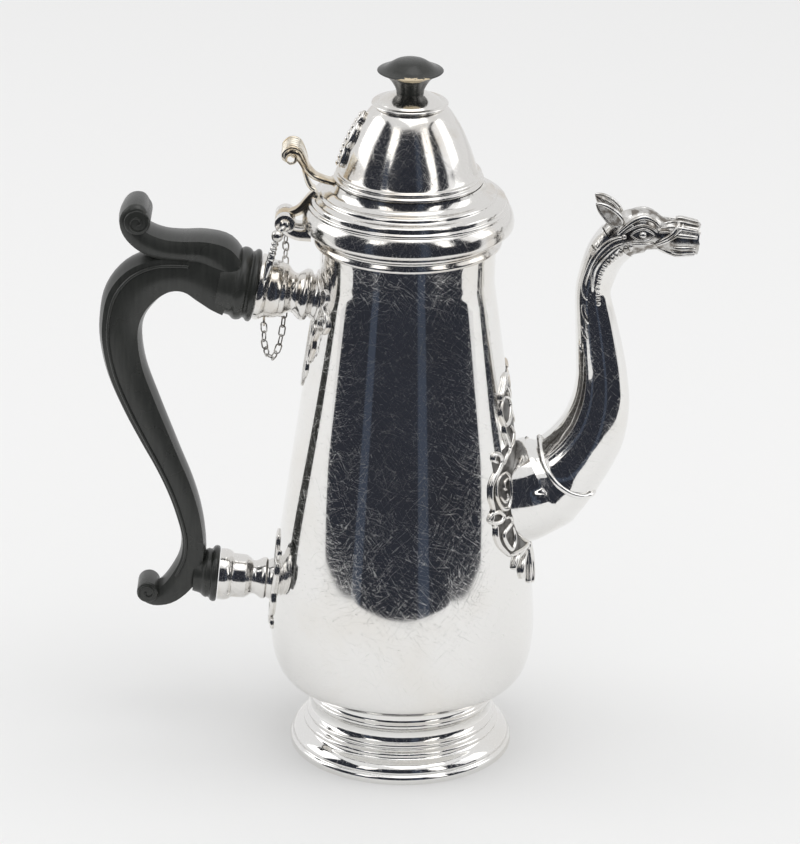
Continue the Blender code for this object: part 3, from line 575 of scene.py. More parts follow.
def draw_out(stations, squareness=0.0, across=12, closed_ends=True):
    """Extrude a section along (x, z, half depth, half width) stations in millimetres."""
    deselect()
    x, z, deep, wide = stations[0]
    turn = heading(stations[0], stations[1])
    bpy.ops.mesh.primitive_plane_add(size=2.0)
    section = bpy.context.object
    bpy.ops.object.mode_set(mode="EDIT")
    bpy.ops.mesh.select_all(action="SELECT")
    bpy.ops.mesh.delete(type="ONLY_FACE")
    bpy.ops.mesh.select_all(action="SELECT")
    bpy.ops.mesh.subdivide(number_cuts=across)
    bpy.ops.transform.tosphere(value=1.0 - squareness)
    bpy.ops.object.mode_set(mode="OBJECT")
    reach = max(v.co.x for v in section.data.vertices)
    section.scale = (deep * MM / reach, wide * MM / reach, 1.0)
    bpy.ops.object.transform_apply(scale=True)
    section.rotation_euler = (0.0, turn, 0.0)
    section.location = ((AXIS_X + x) * MM, 0.0, z * MM)
    bpy.ops.object.transform_apply(location=True, rotation=True)
    bpy.ops.object.mode_set(mode="EDIT")
    bpy.ops.mesh.select_all(action="SELECT")
    if closed_ends:
        bpy.ops.mesh.edge_face_add()
        bpy.ops.mesh.select_all(action="SELECT")
    for k in range(1, len(stations)):
        nx, nz, ndeep, nwide = stations[k]
        ahead = stations[min(k + 1, len(stations) - 1)]
        new_turn = heading(stations[k - 1], ahead)
        new_turn += 2 * math.pi * round((turn - new_turn) / (2 * math.pi))
        here = ((AXIS_X + nx) * MM, 0.0, nz * MM)
        step = ((nx - x) * MM, 0.0, (nz - z) * MM)
        bpy.ops.mesh.extrude_region_move(TRANSFORM_OT_translate={"value": step})
        bpy.ops.transform.rotate(value=turn - new_turn, orient_axis="Y", center_override=here)
        bpy.ops.transform.resize(value=(ndeep / deep, nwide / wide, ndeep / deep), center_override=here)
        x, z, deep, wide, turn = nx, nz, ndeep, nwide, new_turn
    bpy.ops.object.mode_set(mode="OBJECT")
    return section


def join(pieces):
    """Make several objects one."""
    deselect()
    for piece in pieces:
        piece.select_set(True)
    bpy.context.view_layer.objects.active = pieces[0]
    bpy.ops.object.join()
    return bpy.context.object


# %% [markdown]
# The arm and the thumb scroll above it are two such paths. A low ridge runs down each side
# of the arm. It could be carved into the section, but a wire that is sunk to its middle in
# the wood reads the same and can stop where the real ridge stops.

# %% Handle arm, thumb scroll and side ridges
WOOD_SQUARENESS = 0.45
arm_path = [(-61.5, 176.2, 11.4, 10.6), (-66.0, 177.8, 11.0, 9.9), (-70.5, 179.2, 9.6, 9.2),
            (-76.0, 180.8, 7.6, 8.7), (-81.5, 181.2, 7.0, 8.4), (-87.5, 180.2, 7.9, 8.3),
            (-93.6, 176.8, 8.8, 8.2), (-98.2, 171.0, 8.7, 8.1), (-100.5, 163.5, 7.8, 8.0),
            (-100.8, 155.2, 7.5, 7.9), (-98.8, 144.0, 7.2, 7.6), (-94.2, 131.5, 6.8, 7.3),
            (-88.9, 119.2, 6.1, 7.0), (-84.5, 109.4, 5.4, 6.7), (-80.5, 99.8, 5.1, 6.5),
            (-77.4, 90.0, 4.8, 6.4), (-75.5, 80.0, 4.4, 6.3), (-75.9, 71.5, 4.8, 6.2),
            (-78.9, 63.8, 5.3, 6.0), (-84.0, 58.0, 4.6, 5.8), (-89.0, 55.8, 3.4, 5.6),
            (-92.4, 55.9, 2.2, 5.4)]
arm = draw_out(flowing(arm_path, 4), WOOD_SQUARENESS)
thumb_path = [(-60.5, 182.0, 5.2, 9.4), (-65.0, 187.0, 6.4, 9.0), (-71.5, 189.8, 5.0, 8.6),
              (-79.0, 190.0, 4.6, 8.3), (-86.0, 190.8, 4.5, 8.0), (-92.0, 193.2, 4.4, 8.0),
              (-96.4, 197.2, 3.9, 8.1), (-98.0, 201.6, 3.1, 8.3), (-96.4, 205.2, 2.3, 8.5),
              (-93.4, 205.9, 1.6, 8.6), (-91.6, 204.2, 1.1, 8.6)]
thumb = draw_out(flowing(thumb_path, 4), WOOD_SQUARENESS)
ridge_path = flowing(arm_path[3:19], 4)
RIDGE_RADIUS, OFF_MIDDLE, SUNK = 0.6, 0.55, 0.93  # the last two are shares of the half depth and half width
ridges = []
for side in (-1, 1):
    line = []
    for before, (x, z, deep, wide) in zip(ridge_path, ridge_path[1:]):
        turn, off = heading(before, (x, z)), OFF_MIDDLE * deep
        line.append((x + off * math.cos(turn), side * SUNK * wide, z - off * math.sin(turn), RIDGE_RADIUS))
    ridges.append(line)
print("handle arm and scroll:", len(arm.data.polygons) + len(thumb.data.polygons), "faces")


# %% [markdown]
# Both ends of the wood are rolled into volutes. A volute is a short barrel across the handle
# with its rims bevelled, and the roll itself is a spiral wire laid on each face. Wires are
# wanted again for the spout, the head and the plates, so one helper makes any number of them
# as one mesh: a poly curve with a round bevel, whose points each have their own radius.

# %% Volutes: a rolled end with a raised spiral line on each face
SPIRAL_STEPS, SPIRAL_WIRE = 24, 0.42


def volute(x, z, radius, half, turns, start):
    """A barrel across the handle, with its edge rounded and a spiral on both faces."""
    deselect()
    bpy.ops.mesh.primitive_cylinder_add(vertices=48, radius=radius * MM, depth=2 * half * MM,
                                        location=((AXIS_X + x) * MM, 0.0, z * MM),
                                        rotation=(math.pi / 2, 0.0, 0.0))
    barrel = bpy.context.object
    bpy.ops.object.transform_apply(location=True, rotation=True)
    bpy.ops.object.mode_set(mode="EDIT")
    bpy.ops.mesh.select_all(action="DESELECT")
    bpy.ops.object.mode_set(mode="OBJECT")
    for face in barrel.data.polygons:
        face.select = abs(face.normal.y) > 0.9
    bpy.ops.object.mode_set(mode="EDIT")
    bpy.ops.mesh.select_mode(type="FACE")
    bpy.ops.mesh.bevel(offset=0.8 * MM, segments=3, affect="EDGES")
    bpy.ops.mesh.select_mode(type="VERT")
    bpy.ops.object.mode_set(mode="OBJECT")
    lines = []
    for side in (-1, 1):
        points = []
        for k in range(int(SPIRAL_STEPS * turns) + 1):
            a = start - 2 * math.pi * k / SPIRAL_STEPS
            r = radius * (0.86 - 0.72 * k / (SPIRAL_STEPS * turns))
            points.append((x + r * math.cos(a), side * (half + 0.02), z + r * math.sin(a), SPIRAL_WIRE))
        lines.append(points)
    return [barrel, bead_strings(lines, 6)]


def bead_strings(strings, sides=6):
    """Round wires along strings of (x, y, z, radius) points, as one mesh."""
    deselect()
    bpy.ops.curve.primitive_nurbs_path_add()
    path = bpy.context.object
    path.data.splines.clear()
    path.data.dimensions = "3D"
    path.data.bevel_depth = MM
    path.data.bevel_resolution = max(0, sides // 2 - 1)
    path.data.use_fill_caps = True
    for string in strings:
        spline = path.data.splines.new("POLY")
        spline.points.add(len(string) - 1)
        for point, (x, y, z, radius) in zip(spline.points, string):
            point.co = ((AXIS_X + x) * MM, y * MM, z * MM, 1.0)
            point.radius = radius
    bpy.ops.object.convert(target="MESH")
    return bpy.context.object


top_roll = volute(-94.4, 201.2, 4.6, 8.9, 1.3, 0.4)
low_roll = volute(-91.8, 58.6, 3.9, 6.4, 1.2, 3.6)

# %% [markdown]
# The wood swells into collars where the sockets hold it. They are spun and laid over as the
# sockets are, and joined to the rest, because arm, scrolls and collars are one piece of wood.

# %% Collars where the wood meets the silver
upper_collar_line = [(11.3, 19.3), (12.2, 19.5), (12.9, 20.2), (12.8, 21.2), (12.0, 22.0), (11.9, 22.6),
                     (12.6, 23.4), (13.0, 24.6), (12.9, 25.8), (12.2, 26.8), (11.8, 27.6), (11.5, 30.0),
                     (10.8, 33.0)]
upper_collar = spin_up([(0.0, 19.3)] + flowing(upper_collar_line, 4) + [(0.0, 33.0)], 96, 0.0)
lay_over(upper_collar, *UPPER_SEAT)
lower_collar_line = [(9.2, 17.7), (9.9, 18.0), (10.2, 18.9), (9.8, 19.9), (9.0, 20.4), (8.8, 21.0),
                     (8.9, 21.8), (8.4, 22.8), (7.6, 23.8), (7.0, 26.5)]
lower_collar = spin_up([(0.0, 17.7)] + flowing(lower_collar_line, 4) + [(0.0, 26.5)], 96, 0.0)
lay_over(lower_collar, *LOWER_SEAT)
handle = join([arm, thumb, bead_strings(ridges, 8)] + top_roll + low_roll + [upper_collar, lower_collar])
settle(handle, "carved_handle", handle_wood, "pot", ["handle"], 32.0)

# %% [markdown]
# ## Spout
#
# The spout is cast in two halves that are soldered into one tube, with a bulb at its root and
# a raised casting edge where the upper part begins. A curve with a bevel would give a tube
# too, but of one section only, and this one is deeper than it is wide at the head. So it is
# drawn out like the handle, with open ends, and Solidify then gives the skin its wall.

# %% Spout stations
spout_line = flowing([(50.8, 102.3, 17.4, 17.4), (54.8, 105.3, 15.3, 15.3), (58.2, 109.0, 13.6, 13.6),
                      (62.8, 115.2, 12.4, 12.4), (66.8, 122.9, 11.4, 11.4), (69.2, 133.0, 10.0, 10.0),
                      (69.4, 143.0, 8.7, 8.7), (68.5, 151.6, 8.0, 8.0), (66.9, 163.2, 6.9, 6.9),
                      (65.4, 174.0, 5.8, 5.8), (66.6, 181.2, 6.0, 6.0), (69.2, 188.6, 6.5, 6.4),
                      (73.3, 194.2, 7.2, 6.6), (78.0, 197.4, 8.0, 6.9), (83.0, 198.3, 7.9, 6.6),
                      (87.0, 197.5, 6.2, 5.6), (90.5, 196.7, 5.7, 5.3), (94.2, 196.2, 6.6, 6.0),
                      (98.0, 195.9, 6.1, 5.7), (101.9, 195.5, 5.7, 5.4)], 6)
# the stations where the upper spout, the head and the tube in its mouth begin
casting_edge, head_edge, petal_edge = 12, 72, 100
print("spout stations:", len(spout_line))


def give_wall(piece, thickness):
    """Agree the normals of an open skin, then thicken it inwards."""
    pick(piece)
    bpy.ops.object.mode_set(mode="EDIT")
    bpy.ops.mesh.select_all(action="SELECT")
    bpy.ops.mesh.normals_make_consistent(inside=False)
    bpy.ops.object.mode_set(mode="OBJECT")
    return with_modifier(piece, "SOLIDIFY", thickness=thickness * MM, offset=-1.0)


# %% Resting a piece on a turned surface
def radius_at(outline, z):
    """Radius in millimetres, at height z, of an outline that runs downwards."""
    for (r0, z0), (r1, z1) in zip(outline, outline[1:]):
        if z1 <= z <= z0 and z0 > z1:
            return r0 + (r1 - r0) * (z0 - z) / (z0 - z1)
    return outline[0][0]


def on_round(outline, y, z, lift, side):
    """Point on a turned surface, raised by lift; side is 1 for the spout's, -1 for the handle's."""
    r = radius_at(outline, z) + lift
    return side * math.sqrt(max(r * r - y * y, 0.0)), y, z


body_curve = flowing(body_out[:-2], 6)
print("radius of the body at the spout's root:", round(radius_at(body_curve, 100.0), 2), "mm")


# %% Spout root and upper spout
inside_body = [(34.0, 98.0, 18.6, 18.6), (45.0, 99.4, 18.4, 18.4)]
root = draw_out(inside_body + spout_line[:casting_edge + 1], 0.0, 17, False)
for vertex in root.data.vertices:
    x, y, z = vertex.co.x / MM - AXIS_X, vertex.co.y / MM, vertex.co.z / MM
    resting = on_round(body_curve, y, z, 0.3, 1)[0]
    if x < resting:
        vertex.co.x = (resting + AXIS_X) * MM
settle(give_wall(root, 1.2), "spout_root_bulb", plate_silver, "pot", ["spout_lower"], 60.0)
upper = [(x, z, deep + 0.5, wide + 0.5) for x, z, deep, wide in spout_line[casting_edge:head_edge + 1]]
upper_spout = give_wall(draw_out(upper, 0.0, 17, False), 1.7)
settle(upper_spout, "spout_swan_neck", plate_silver, "pot", ["spout_upper"], 50.0)

# %% [markdown]
# ## Cast relief: lines laid on a surface
#
# The casting lines, the mane, the scrollwork and the flutes are all ridges that lie on a
# curved skin. Each is drawn as a line seen from the side or from the front, and a helper
# finds where that line lies on the metal. A ridge swells in its middle and dies at its ends.

# %% Where a line lies on the spout
def on_spout(x, z, lift=0.0, side=-1):
    """Point on the spout's skin that is seen from the side at (x, z)."""
    k = min(range(1, len(spout_line) - 1),
            key=lambda i: math.hypot(spout_line[i][0] - x, spout_line[i][1] - z))
    turn = heading(spout_line[k - 1], spout_line[k + 1])
    centre_x, centre_z, deep, wide = spout_line[k]
    rise = (x - centre_x) * math.cos(turn) - (z - centre_z) * math.sin(turn)
    share = max(-1.0, min(1.0, rise / deep))
    out = math.sqrt(1.0 - share * share)
    return x + lift * share * math.cos(turn), side * (wide + lift) * out, z - lift * share * math.sin(turn)


def around_spout(k, angle, lift=0.0):
    """Point at an angle round station k, from the top of the head or the inside of the neck."""
    turn = heading(spout_line[k - 1], spout_line[min(k + 1, len(spout_line) - 1)])
    x, z, deep, wide = spout_line[k]
    up = (deep + lift) * math.cos(angle)
    return x - math.cos(turn) * up, (wide + lift) * math.sin(angle), z + math.sin(turn) * up


def swelling(points, radius, ends=0.35):
    """A ridge through points that is thickest in its middle."""
    path = flowing(points, 4)
    last = len(path) - 1
    return [(*p, radius * (ends + (1 - ends) * math.sqrt(math.sin(math.pi * k / last)))) if 0 < k < last
            else (*p, radius * ends) for k, p in enumerate(path)]


def bead(x, y, z, radius):
    """A round bead, as a short string."""
    steps = (-1.45, -1.1, -0.6, 0.0, 0.6, 1.1, 1.45)
    return [(x + radius * math.sin(a), y, z, radius * math.cos(a)) for a in steps]


# %% Casting edge round the spout's root
edge_line = [(48.2, 119.0), (48.6, 116.0), (50.0, 112.6), (53.3, 108.4), (57.0, 105.0), (60.8, 102.6),
             (64.6, 101.2), (67.4, 101.2)]
near_edge = [on_spout(x, z, 0.3, -1) for x, z in edge_line]
far_edge = [(x, -y, z) for x, y, z in reversed(near_edge)]
ridge = [(*p, 1.0) for p in flowing(near_edge + far_edge + near_edge[:1], 4)]
settle(bead_strings([ridge], 8), "spout_casting_edge", plate_silver, "pot", (), 60.0)

# %% [markdown]
# ## Beast's head
#
# The spout ends in a cast head. Its skull is the last part of the same path, and over it lie
# a smooth crown, brows, eyelids, curled lips, a mane of two long ridges, and a row of small
# bars down the throat. The tube comes out of the open mouth inside a ring of petals. It
# could be sculpted, but lines laid on a skull keep the crisp look of chased metal, and each
# of them can be moved by itself.

# %% Skull and tube
skull = give_wall(draw_out(spout_line[head_edge:], 0.0, 17, False), 1.2)
end_x = max(v.co.x for v in skull.data.vertices)
TUBE_Z, WAVES = 195.4, 9.0  # the tube's end is ragged: nine shallow waves round its middle
for vertex in skull.data.vertices:
    if vertex.co.x > end_x - 0.6 * MM:
        around = math.atan2(vertex.co.y, vertex.co.z - TUBE_Z * MM)
        vertex.co.x -= 0.5 * MM * (1.0 + math.sin(WAVES * around))
settle(skull, "beast_skull", dark_silver, "pot", ["beast_head"], 50.0)

# %% Brows, lids, lips and mane, as (radius, line seen from the side)
head_lines = [
    (1.0, [(73.1, 198.5), (75.4, 201.0), (78.8, 203.4), (81.9, 204.4), (84.5, 203.9), (86.3, 202.8),
           (87.6, 201.2)]),
    (0.55, [(75.4, 199.4), (78.0, 201.0), (80.6, 202.0), (83.2, 201.9), (85.4, 200.9), (87.0, 199.5)]),
    (0.5, [(77.6, 198.8), (79.3, 200.1), (81.9, 200.9), (84.1, 200.2), (86.1, 198.6)]),
    (0.5, [(77.6, 198.8), (79.8, 197.3), (82.5, 196.7), (84.6, 197.2), (86.1, 198.6)]),
    (1.2, [(75.0, 197.8), (71.6, 196.6), (68.2, 193.6), (65.3, 189.2), (63.3, 183.8), (62.2, 179.1),
           (62.5, 175.5), (63.5, 173.9)]),
    (1.1, [(75.1, 195.5), (72.1, 194.0), (69.1, 191.1), (66.6, 187.7), (65.3, 184.3), (65.0, 181.0),
           (65.1, 177.0)]),
    (0.6, [(75.7, 195.9), (79.0, 195.5), (82.5, 195.5), (85.6, 195.3), (87.1, 193.3)]),
    (0.9, [(94.6, 202.6), (94.3, 201.3), (92.9, 199.4), (90.8, 197.6), (88.2, 196.2), (86.4, 195.1)]),
    (0.7, [(96.2, 202.4), (95.7, 200.8), (94.0, 198.7), (91.2, 196.7), (88.7, 195.4), (86.6, 194.5)]),
    (0.45, [(89.1, 201.9), (92.1, 202.0), (94.3, 202.3)]),
    (0.45, [(88.3, 200.7), (91.2, 200.8), (93.5, 200.9)]),
    (0.45, [(87.6, 199.4), (90.1, 199.3), (92.1, 199.1)]),
    (0.8, [(87.1, 193.3), (89.9, 191.4), (93.2, 190.6)]),
    (1.0, [(61.9, 172.1), (62.3, 169.4), (63.1, 167.3), (63.9, 165.1)]),
    (0.9, [(61.7, 164.0), (62.5, 162.4), (63.0, 160.8), (63.9, 159.1)]),
    (0.8, [(60.9, 156.9), (61.7, 155.4), (62.2, 153.7)]),
]
throat = [(77.8, 194.1), (76.0, 193.3), (74.3, 192.1), (72.8, 190.9), (71.4, 189.8), (70.1, 188.6),
          (69.0, 187.1), (68.2, 185.4), (67.6, 183.8), (67.2, 182.1), (66.9, 180.2), (66.8, 178.3),
          (66.8, 176.3), (66.9, 174.4)]
# the eye, the cheek and the end of the throat, as (x, z, lift, radius)
round_beads = [(81.9, 198.9, -0.2, 1.35), (75.4, 198.1, 0.0, 1.0), (67.1, 172.6, 0.0, 1.0)]
relief = []
for side in (-1, 1):
    for radius, line in head_lines:
        relief.append(swelling([on_spout(x, z, 0.1, side) for x, z in line], radius))
    for k, (x, z) in enumerate(throat):
        ahead, behind = throat[min(k + 1, len(throat) - 1)], throat[max(k - 1, 0)]
        run = math.hypot(ahead[0] - behind[0], ahead[1] - behind[1])
        across = ((behind[1] - ahead[1]) / run, (ahead[0] - behind[0]) / run)
        bar = [on_spout(x + across[0] * s - 0.5 * s, z + across[1] * s, 0.1, side) for s in (-1.6, 0.0, 1.6)]
        relief.append(swelling(bar, 0.95, 0.5))
    for x, z, lift, radius in round_beads:
        relief.append(bead(*on_spout(x, z, lift, side), radius))
print("ridges on the head:", len(relief))

# %% Petals round the tube, at angles from its top to its bottom
for angle in (0.0, 0.42, 0.84, 1.22, 1.95, 2.3, 2.65, 3.14159):
    for side in ((-1, 1) if 0.0 < angle < 3.1 else (1,)):
        petal = [around_spout(k, side * angle, 0.05) for k in range(petal_edge, len(spout_line) - 1, 2)]
        relief.append(swelling(petal, 0.85, 0.6))
relief_piece = bead_strings(relief, 8)

# %% [markdown]
# Between the brows the top of the skull is a smooth low cap. A sphere that is flattened and
# cut level by bisect gives it, and a fine wire hides the cut against the brows.

# %% Crown cap over the brows
CROWN_X = 79.2
deselect()
bpy.ops.mesh.primitive_uv_sphere_add(segments=40, ring_count=24, radius=MM)
crown = bpy.context.object
crown.scale = (7.4, 5.6, 5.2)
crown.location = ((AXIS_X + CROWN_X) * MM, 0.0, 200.7 * MM)
bpy.ops.object.transform_apply(location=True, rotation=True, scale=True)
bpy.ops.object.mode_set(mode="EDIT")
bpy.ops.mesh.select_all(action="SELECT")
bpy.ops.mesh.bisect(plane_co=((AXIS_X + CROWN_X) * MM, 0.0, 201.6 * MM), plane_no=(0.12, 0.0, 1.0),
                    use_fill=True, clear_inner=True)
bpy.ops.object.mode_set(mode="OBJECT")
crown_rim = [(CROWN_X + 7.5 * math.cos(a), 5.6 * math.sin(a), 201.5 - 0.9 * math.cos(a), 0.5)
             for a in (k * math.pi / 24 for k in range(49))]
head_relief = join([relief_piece, crown, bead_strings([crown_rim], 6)])
settle(head_relief, "beast_relief", cast_silver, "pot", (), 50.0)

# %% [markdown]
# Each ear is a leaf with a hollow face and a rolled rim. Its outline is filled, extruded in
# place and scaled down three times, and each ring is pushed back to dish it. A wire along
# the upper and the lower edge is the rolled rim, and keeps the thin leaf from looking cut out.

# %% Ears
def leaf(outline, dish, thick):
    """A thin leaf from an outline of (x, y, z), with its middle pushed by dish."""
    deselect()
    bpy.ops.mesh.primitive_circle_add(vertices=len(outline), radius=MM, fill_type="NGON")
    blade = bpy.context.object
    for vertex, (x, y, z) in zip(blade.data.vertices, outline):
        vertex.co = ((AXIS_X + x) * MM, y * MM, z * MM)
    bpy.ops.object.mode_set(mode="EDIT")
    bpy.ops.mesh.select_all(action="SELECT")
    middle = [sum(p[i] for p in outline) / len(outline) for i in range(3)]
    centre = ((AXIS_X + middle[0]) * MM, middle[1] * MM, middle[2] * MM)
    for shrink, push in ((0.82, 0.45), (0.7, 0.35), (0.5, 0.2)):
        bpy.ops.mesh.extrude_region_move()
        bpy.ops.transform.resize(value=(shrink, shrink, shrink), center_override=centre)
        bpy.ops.transform.translate(value=tuple(push * d * MM for d in dish))
    bpy.ops.object.mode_set(mode="OBJECT")
    return with_modifier(blade, "SOLIDIFY", thickness=thick * MM, offset=0.0)


ear_outline = [(65.4, -4.8, 209.6), (68.0, -5.2, 209.2), (70.6, -5.4, 208.0), (73.0, -5.4, 206.1),
               (74.6, -5.2, 203.9), (74.8, -4.8, 201.6), (72.6, -4.6, 201.0), (70.1, -4.8, 202.1),
               (67.8, -4.9, 204.8), (66.2, -4.9, 207.3)]
for name, node, side in (("ear_leaf_near", "ear_near", 1), ("ear_leaf_far", "ear_far", -1)):
    outline = [(x, side * y, z) for x, y, z in ear_outline]
    outline = flowing(outline + outline[:1], 3)[:-1]
    settle(leaf(outline, (0.3, side * 1.6, -0.5), 0.5), name, dark_silver, "pot", [node], 50.0)
    fold = swelling([(x, side * y, z) for x, y, z in ear_outline[:6]], 0.8, 0.5)
    low_fold = swelling([(x, side * y, z) for x, y, z in ear_outline[5:] + ear_outline[:1]], 0.45, 0.5)
    fold_name = name.replace("leaf", "fold")
    settle(bead_strings([fold, low_fold], 8), fold_name, cast_silver, "pot", (), 50.0)

# %% [markdown]
# ## Pierced plates
#
# Where the spout and the two sockets meet the body, a pierced plate of scrolls and leaves
# spreads the load. It is half a drawing, mirrored: each scroll is a line in (y, z), laid on
# the body's curve, and its mirror image is laid beside it. Holes could be cut in a sheet
# instead, but a cast scroll is round in section and swells as it goes, and a wire does both.
# A thin, dark sheet under each plate paints the shade in the openings between the scrolls, together with some
# tarnish there.

# %% Scrolls as (radius, line) in millimetres across and up
spout_scrolls = [
    (1.2, [(-3.0, 144.6), (-6.0, 145.4), (-8.4, 145.1), (-10.6, 143.3), (-12.7, 141.9), (-14.4, 140.7),
           (-15.2, 139.1)]),
    (1.1, [(-10.6, 143.3), (-7.6, 139.6), (-4.9, 135.8)]),
    (0.9, [(-11.5, 139.0), (-14.0, 138.1), (-15.8, 135.6), (-15.8, 132.4), (-14.3, 129.6), (-11.0, 129.3),
           (-7.4, 131.1), (-5.1, 134.0), (-7.3, 137.2), (-11.5, 139.0)]),
    (1.0, [(-14.9, 129.5), (-15.0, 126.6), (-13.7, 123.3), (-13.4, 120.2), (-16.8, 118.6), (-19.3, 116.3)]),
    (1.0, [(-9.4, 127.3), (-6.5, 123.6), (-8.9, 121.3), (-12.8, 119.9)]),
    (1.1, [(-22.0, 118.2), (-23.8, 119.8), (-23.1, 121.6), (-21.0, 120.9), (-20.1, 118.3), (-22.1, 115.9),
           (-24.9, 113.7), (-26.8, 111.1), (-27.6, 106.9), (-27.4, 102.8), (-28.6, 98.6)]),
    (0.9, [(-18.6, 113.3), (-22.3, 113.0), (-24.6, 110.4), (-25.2, 106.2), (-23.6, 101.7), (-20.5, 100.4),
           (-17.7, 103.1), (-16.7, 107.0), (-16.6, 110.8), (-18.6, 113.3)]),
    (0.7, [(-17.5, 110.6), (-20.0, 110.2), (-20.8, 108.0), (-19.2, 106.8)]),
    (0.7, [(-23.4, 105.8), (-21.6, 103.2), (-19.4, 103.4), (-19.6, 105.4)]),
    (1.0, [(-29.9, 99.5), (-28.1, 101.2), (-25.3, 100.8), (-23.7, 98.7), (-25.3, 97.2), (-28.2, 97.7),
           (-29.9, 99.5)]),
    (1.0, [(-28.6, 98.6), (-27.6, 96.1), (-28.0, 92.4), (-27.0, 88.1), (-23.4, 83.1)]),
    (0.9, [(-22.6, 97.2), (-20.0, 96.6), (-19.3, 94.4), (-21.3, 93.6), (-24.6, 92.2), (-24.5, 88.9),
           (-22.0, 85.0), (-19.1, 86.5), (-18.4, 89.6), (-19.0, 92.6)]),
    (1.0, [(-23.4, 83.1), (-18.0, 82.2), (-8.9, 80.4), (0.0, 79.6)]),
    (1.3, [(-12.5, 80.8), (-19.0, 80.9), (-22.6, 77.4)]),
    (1.3, [(-10.5, 79.7), (-16.4, 76.6), (-17.9, 71.8)]),
    (1.3, [(-6.7, 79.3), (-7.7, 72.7), (-11.6, 67.4)]),
    (1.3, [(-2.0, 79.0), (-1.6, 71.0), (-4.6, 64.4)]),
]
socket_scrolls = [
    (1.0, [(0.0, 180.4), (-3.0, 180.0), (-6.5, 178.6), (-9.2, 175.5), (-9.8, 171.5), (-8.6, 167.5),
           (-6.6, 164.5), (-6.4, 160.0), (-5.6, 155.0), (-4.6, 149.0), (-3.0, 143.0), (0.0, 137.8)]),
    (0.7, [(-4.0, 178.0), (-7.6, 176.2), (-8.6, 173.2), (-7.2, 170.6), (-5.0, 171.6), (-5.2, 173.8),
           (-6.9, 173.8)]),
    (0.7, [(0.0, 163.5), (-2.8, 162.0), (-4.0, 158.6), (-3.4, 153.0), (-2.0, 148.0), (0.0, 144.0)]),
    (0.9, [(-6.6, 164.5), (-8.6, 161.6), (-8.6, 157.8)]),
    (0.8, [(-5.9, 156.5), (-7.4, 152.6), (-7.0, 149.0)]),
    (0.7, [(-4.9, 150.0), (-5.8, 146.0), (-4.6, 142.4)]),
    (0.9, [(-9.0, 176.0), (-12.6, 178.4), (-14.4, 175.6), (-12.6, 172.4), (-15.6, 170.4), (-17.6, 167.2),
           (-16.0, 164.2), (-12.8, 164.4), (-11.8, 167.2), (-13.8, 168.8), (-15.2, 167.2)]),
    (0.8, [(-12.8, 164.4), (-10.8, 160.4), (-8.4, 157.4)]),
    (0.8, [(-8.6, 161.6), (-10.4, 156.6), (-9.0, 151.6), (-6.6, 148.6)]),
]
foot_scrolls = [
    (1.0, [(0.0, 81.4), (-2.8, 80.2), (-4.2, 77.0), (-6.5, 73.8), (-9.2, 70.5), (-9.7, 65.5), (-8.6, 61.0),
           (-9.6, 57.0), (-8.6, 52.5), (-5.2, 50.5), (-3.4, 47.2), (0.0, 44.4)]),
    (0.7, [(-3.0, 76.5), (-6.6, 71.8), (-8.0, 68.4), (-6.6, 66.4), (-5.2, 68.0)]),
    (0.7, [(-3.0, 49.6), (-6.4, 54.0), (-8.0, 57.0), (-6.6, 59.2), (-5.2, 57.6)]),
    (0.8, [(-6.5, 73.8), (-9.2, 74.6), (-9.4, 77.6)]),
    (0.8, [(-5.2, 50.5), (-8.2, 49.4), (-9.2, 46.6)]),
]


# %% Lay the scrolls on the body
def pierced_plate(scrolls, side):
    """Every scroll and its mirror image, as ridges on the body."""
    strings = []
    for radius, line in scrolls:
        for hand in (-1, 1):
            laid = [on_round(body_curve, hand * y, z, 0.35 * radius, side) for y, z in flowing(line, 3)]
            strings.append(swelling(laid, radius, 0.3))
    return bead_strings(strings, 8)


def backing(half_outline, side):
    """A thin sheet on the body under the scrolls, cut to a mirrored outline of (y, z); it carries painted
    shade.
    """
    ys, zs = [abs(p[0]) for p in half_outline], [p[1] for p in half_outline]
    deselect()
    bpy.ops.mesh.primitive_grid_add(x_subdivisions=56, y_subdivisions=90, size=1.0)
    sheet = bpy.context.object
    for vertex in sheet.data.vertices:
        y = vertex.co.x * 2.0 * max(ys)
        z = min(zs) + (vertex.co.y + 0.5) * (max(zs) - min(zs))
        x, y, z = on_round(body_curve, y, z, 0.12, side)
        vertex.co = ((AXIS_X + x) * MM, y * MM, z * MM)
    bpy.ops.object.mode_set(mode="EDIT")
    bpy.ops.mesh.select_all(action="DESELECT")
    bpy.ops.object.mode_set(mode="OBJECT")
    # a face lies inside the outline where a level line from it crosses the outline an odd number of times
    for face in sheet.data.polygons:
        y, z, crossings = abs(face.center.y) / MM, face.center.z / MM, 0
        for (y0, z0), (y1, z1) in zip(half_outline, half_outline[1:]):
            if min(z0, z1) <= z < max(z0, z1):
                crossings += y < abs(y0) + (abs(y1) - abs(y0)) * (z - z0) / (z1 - z0)
        face.select = crossings % 2 == 0
    bpy.ops.object.mode_set(mode="EDIT")
    bpy.ops.mesh.select_mode(type="FACE")
    bpy.ops.mesh.delete(type="FACE")
    bpy.ops.mesh.select_mode(type="VERT")
    bpy.ops.object.mode_set(mode="OBJECT")
    return with_modifier(sheet, "SOLIDIFY", thickness=0.2 * MM, offset=0.0)


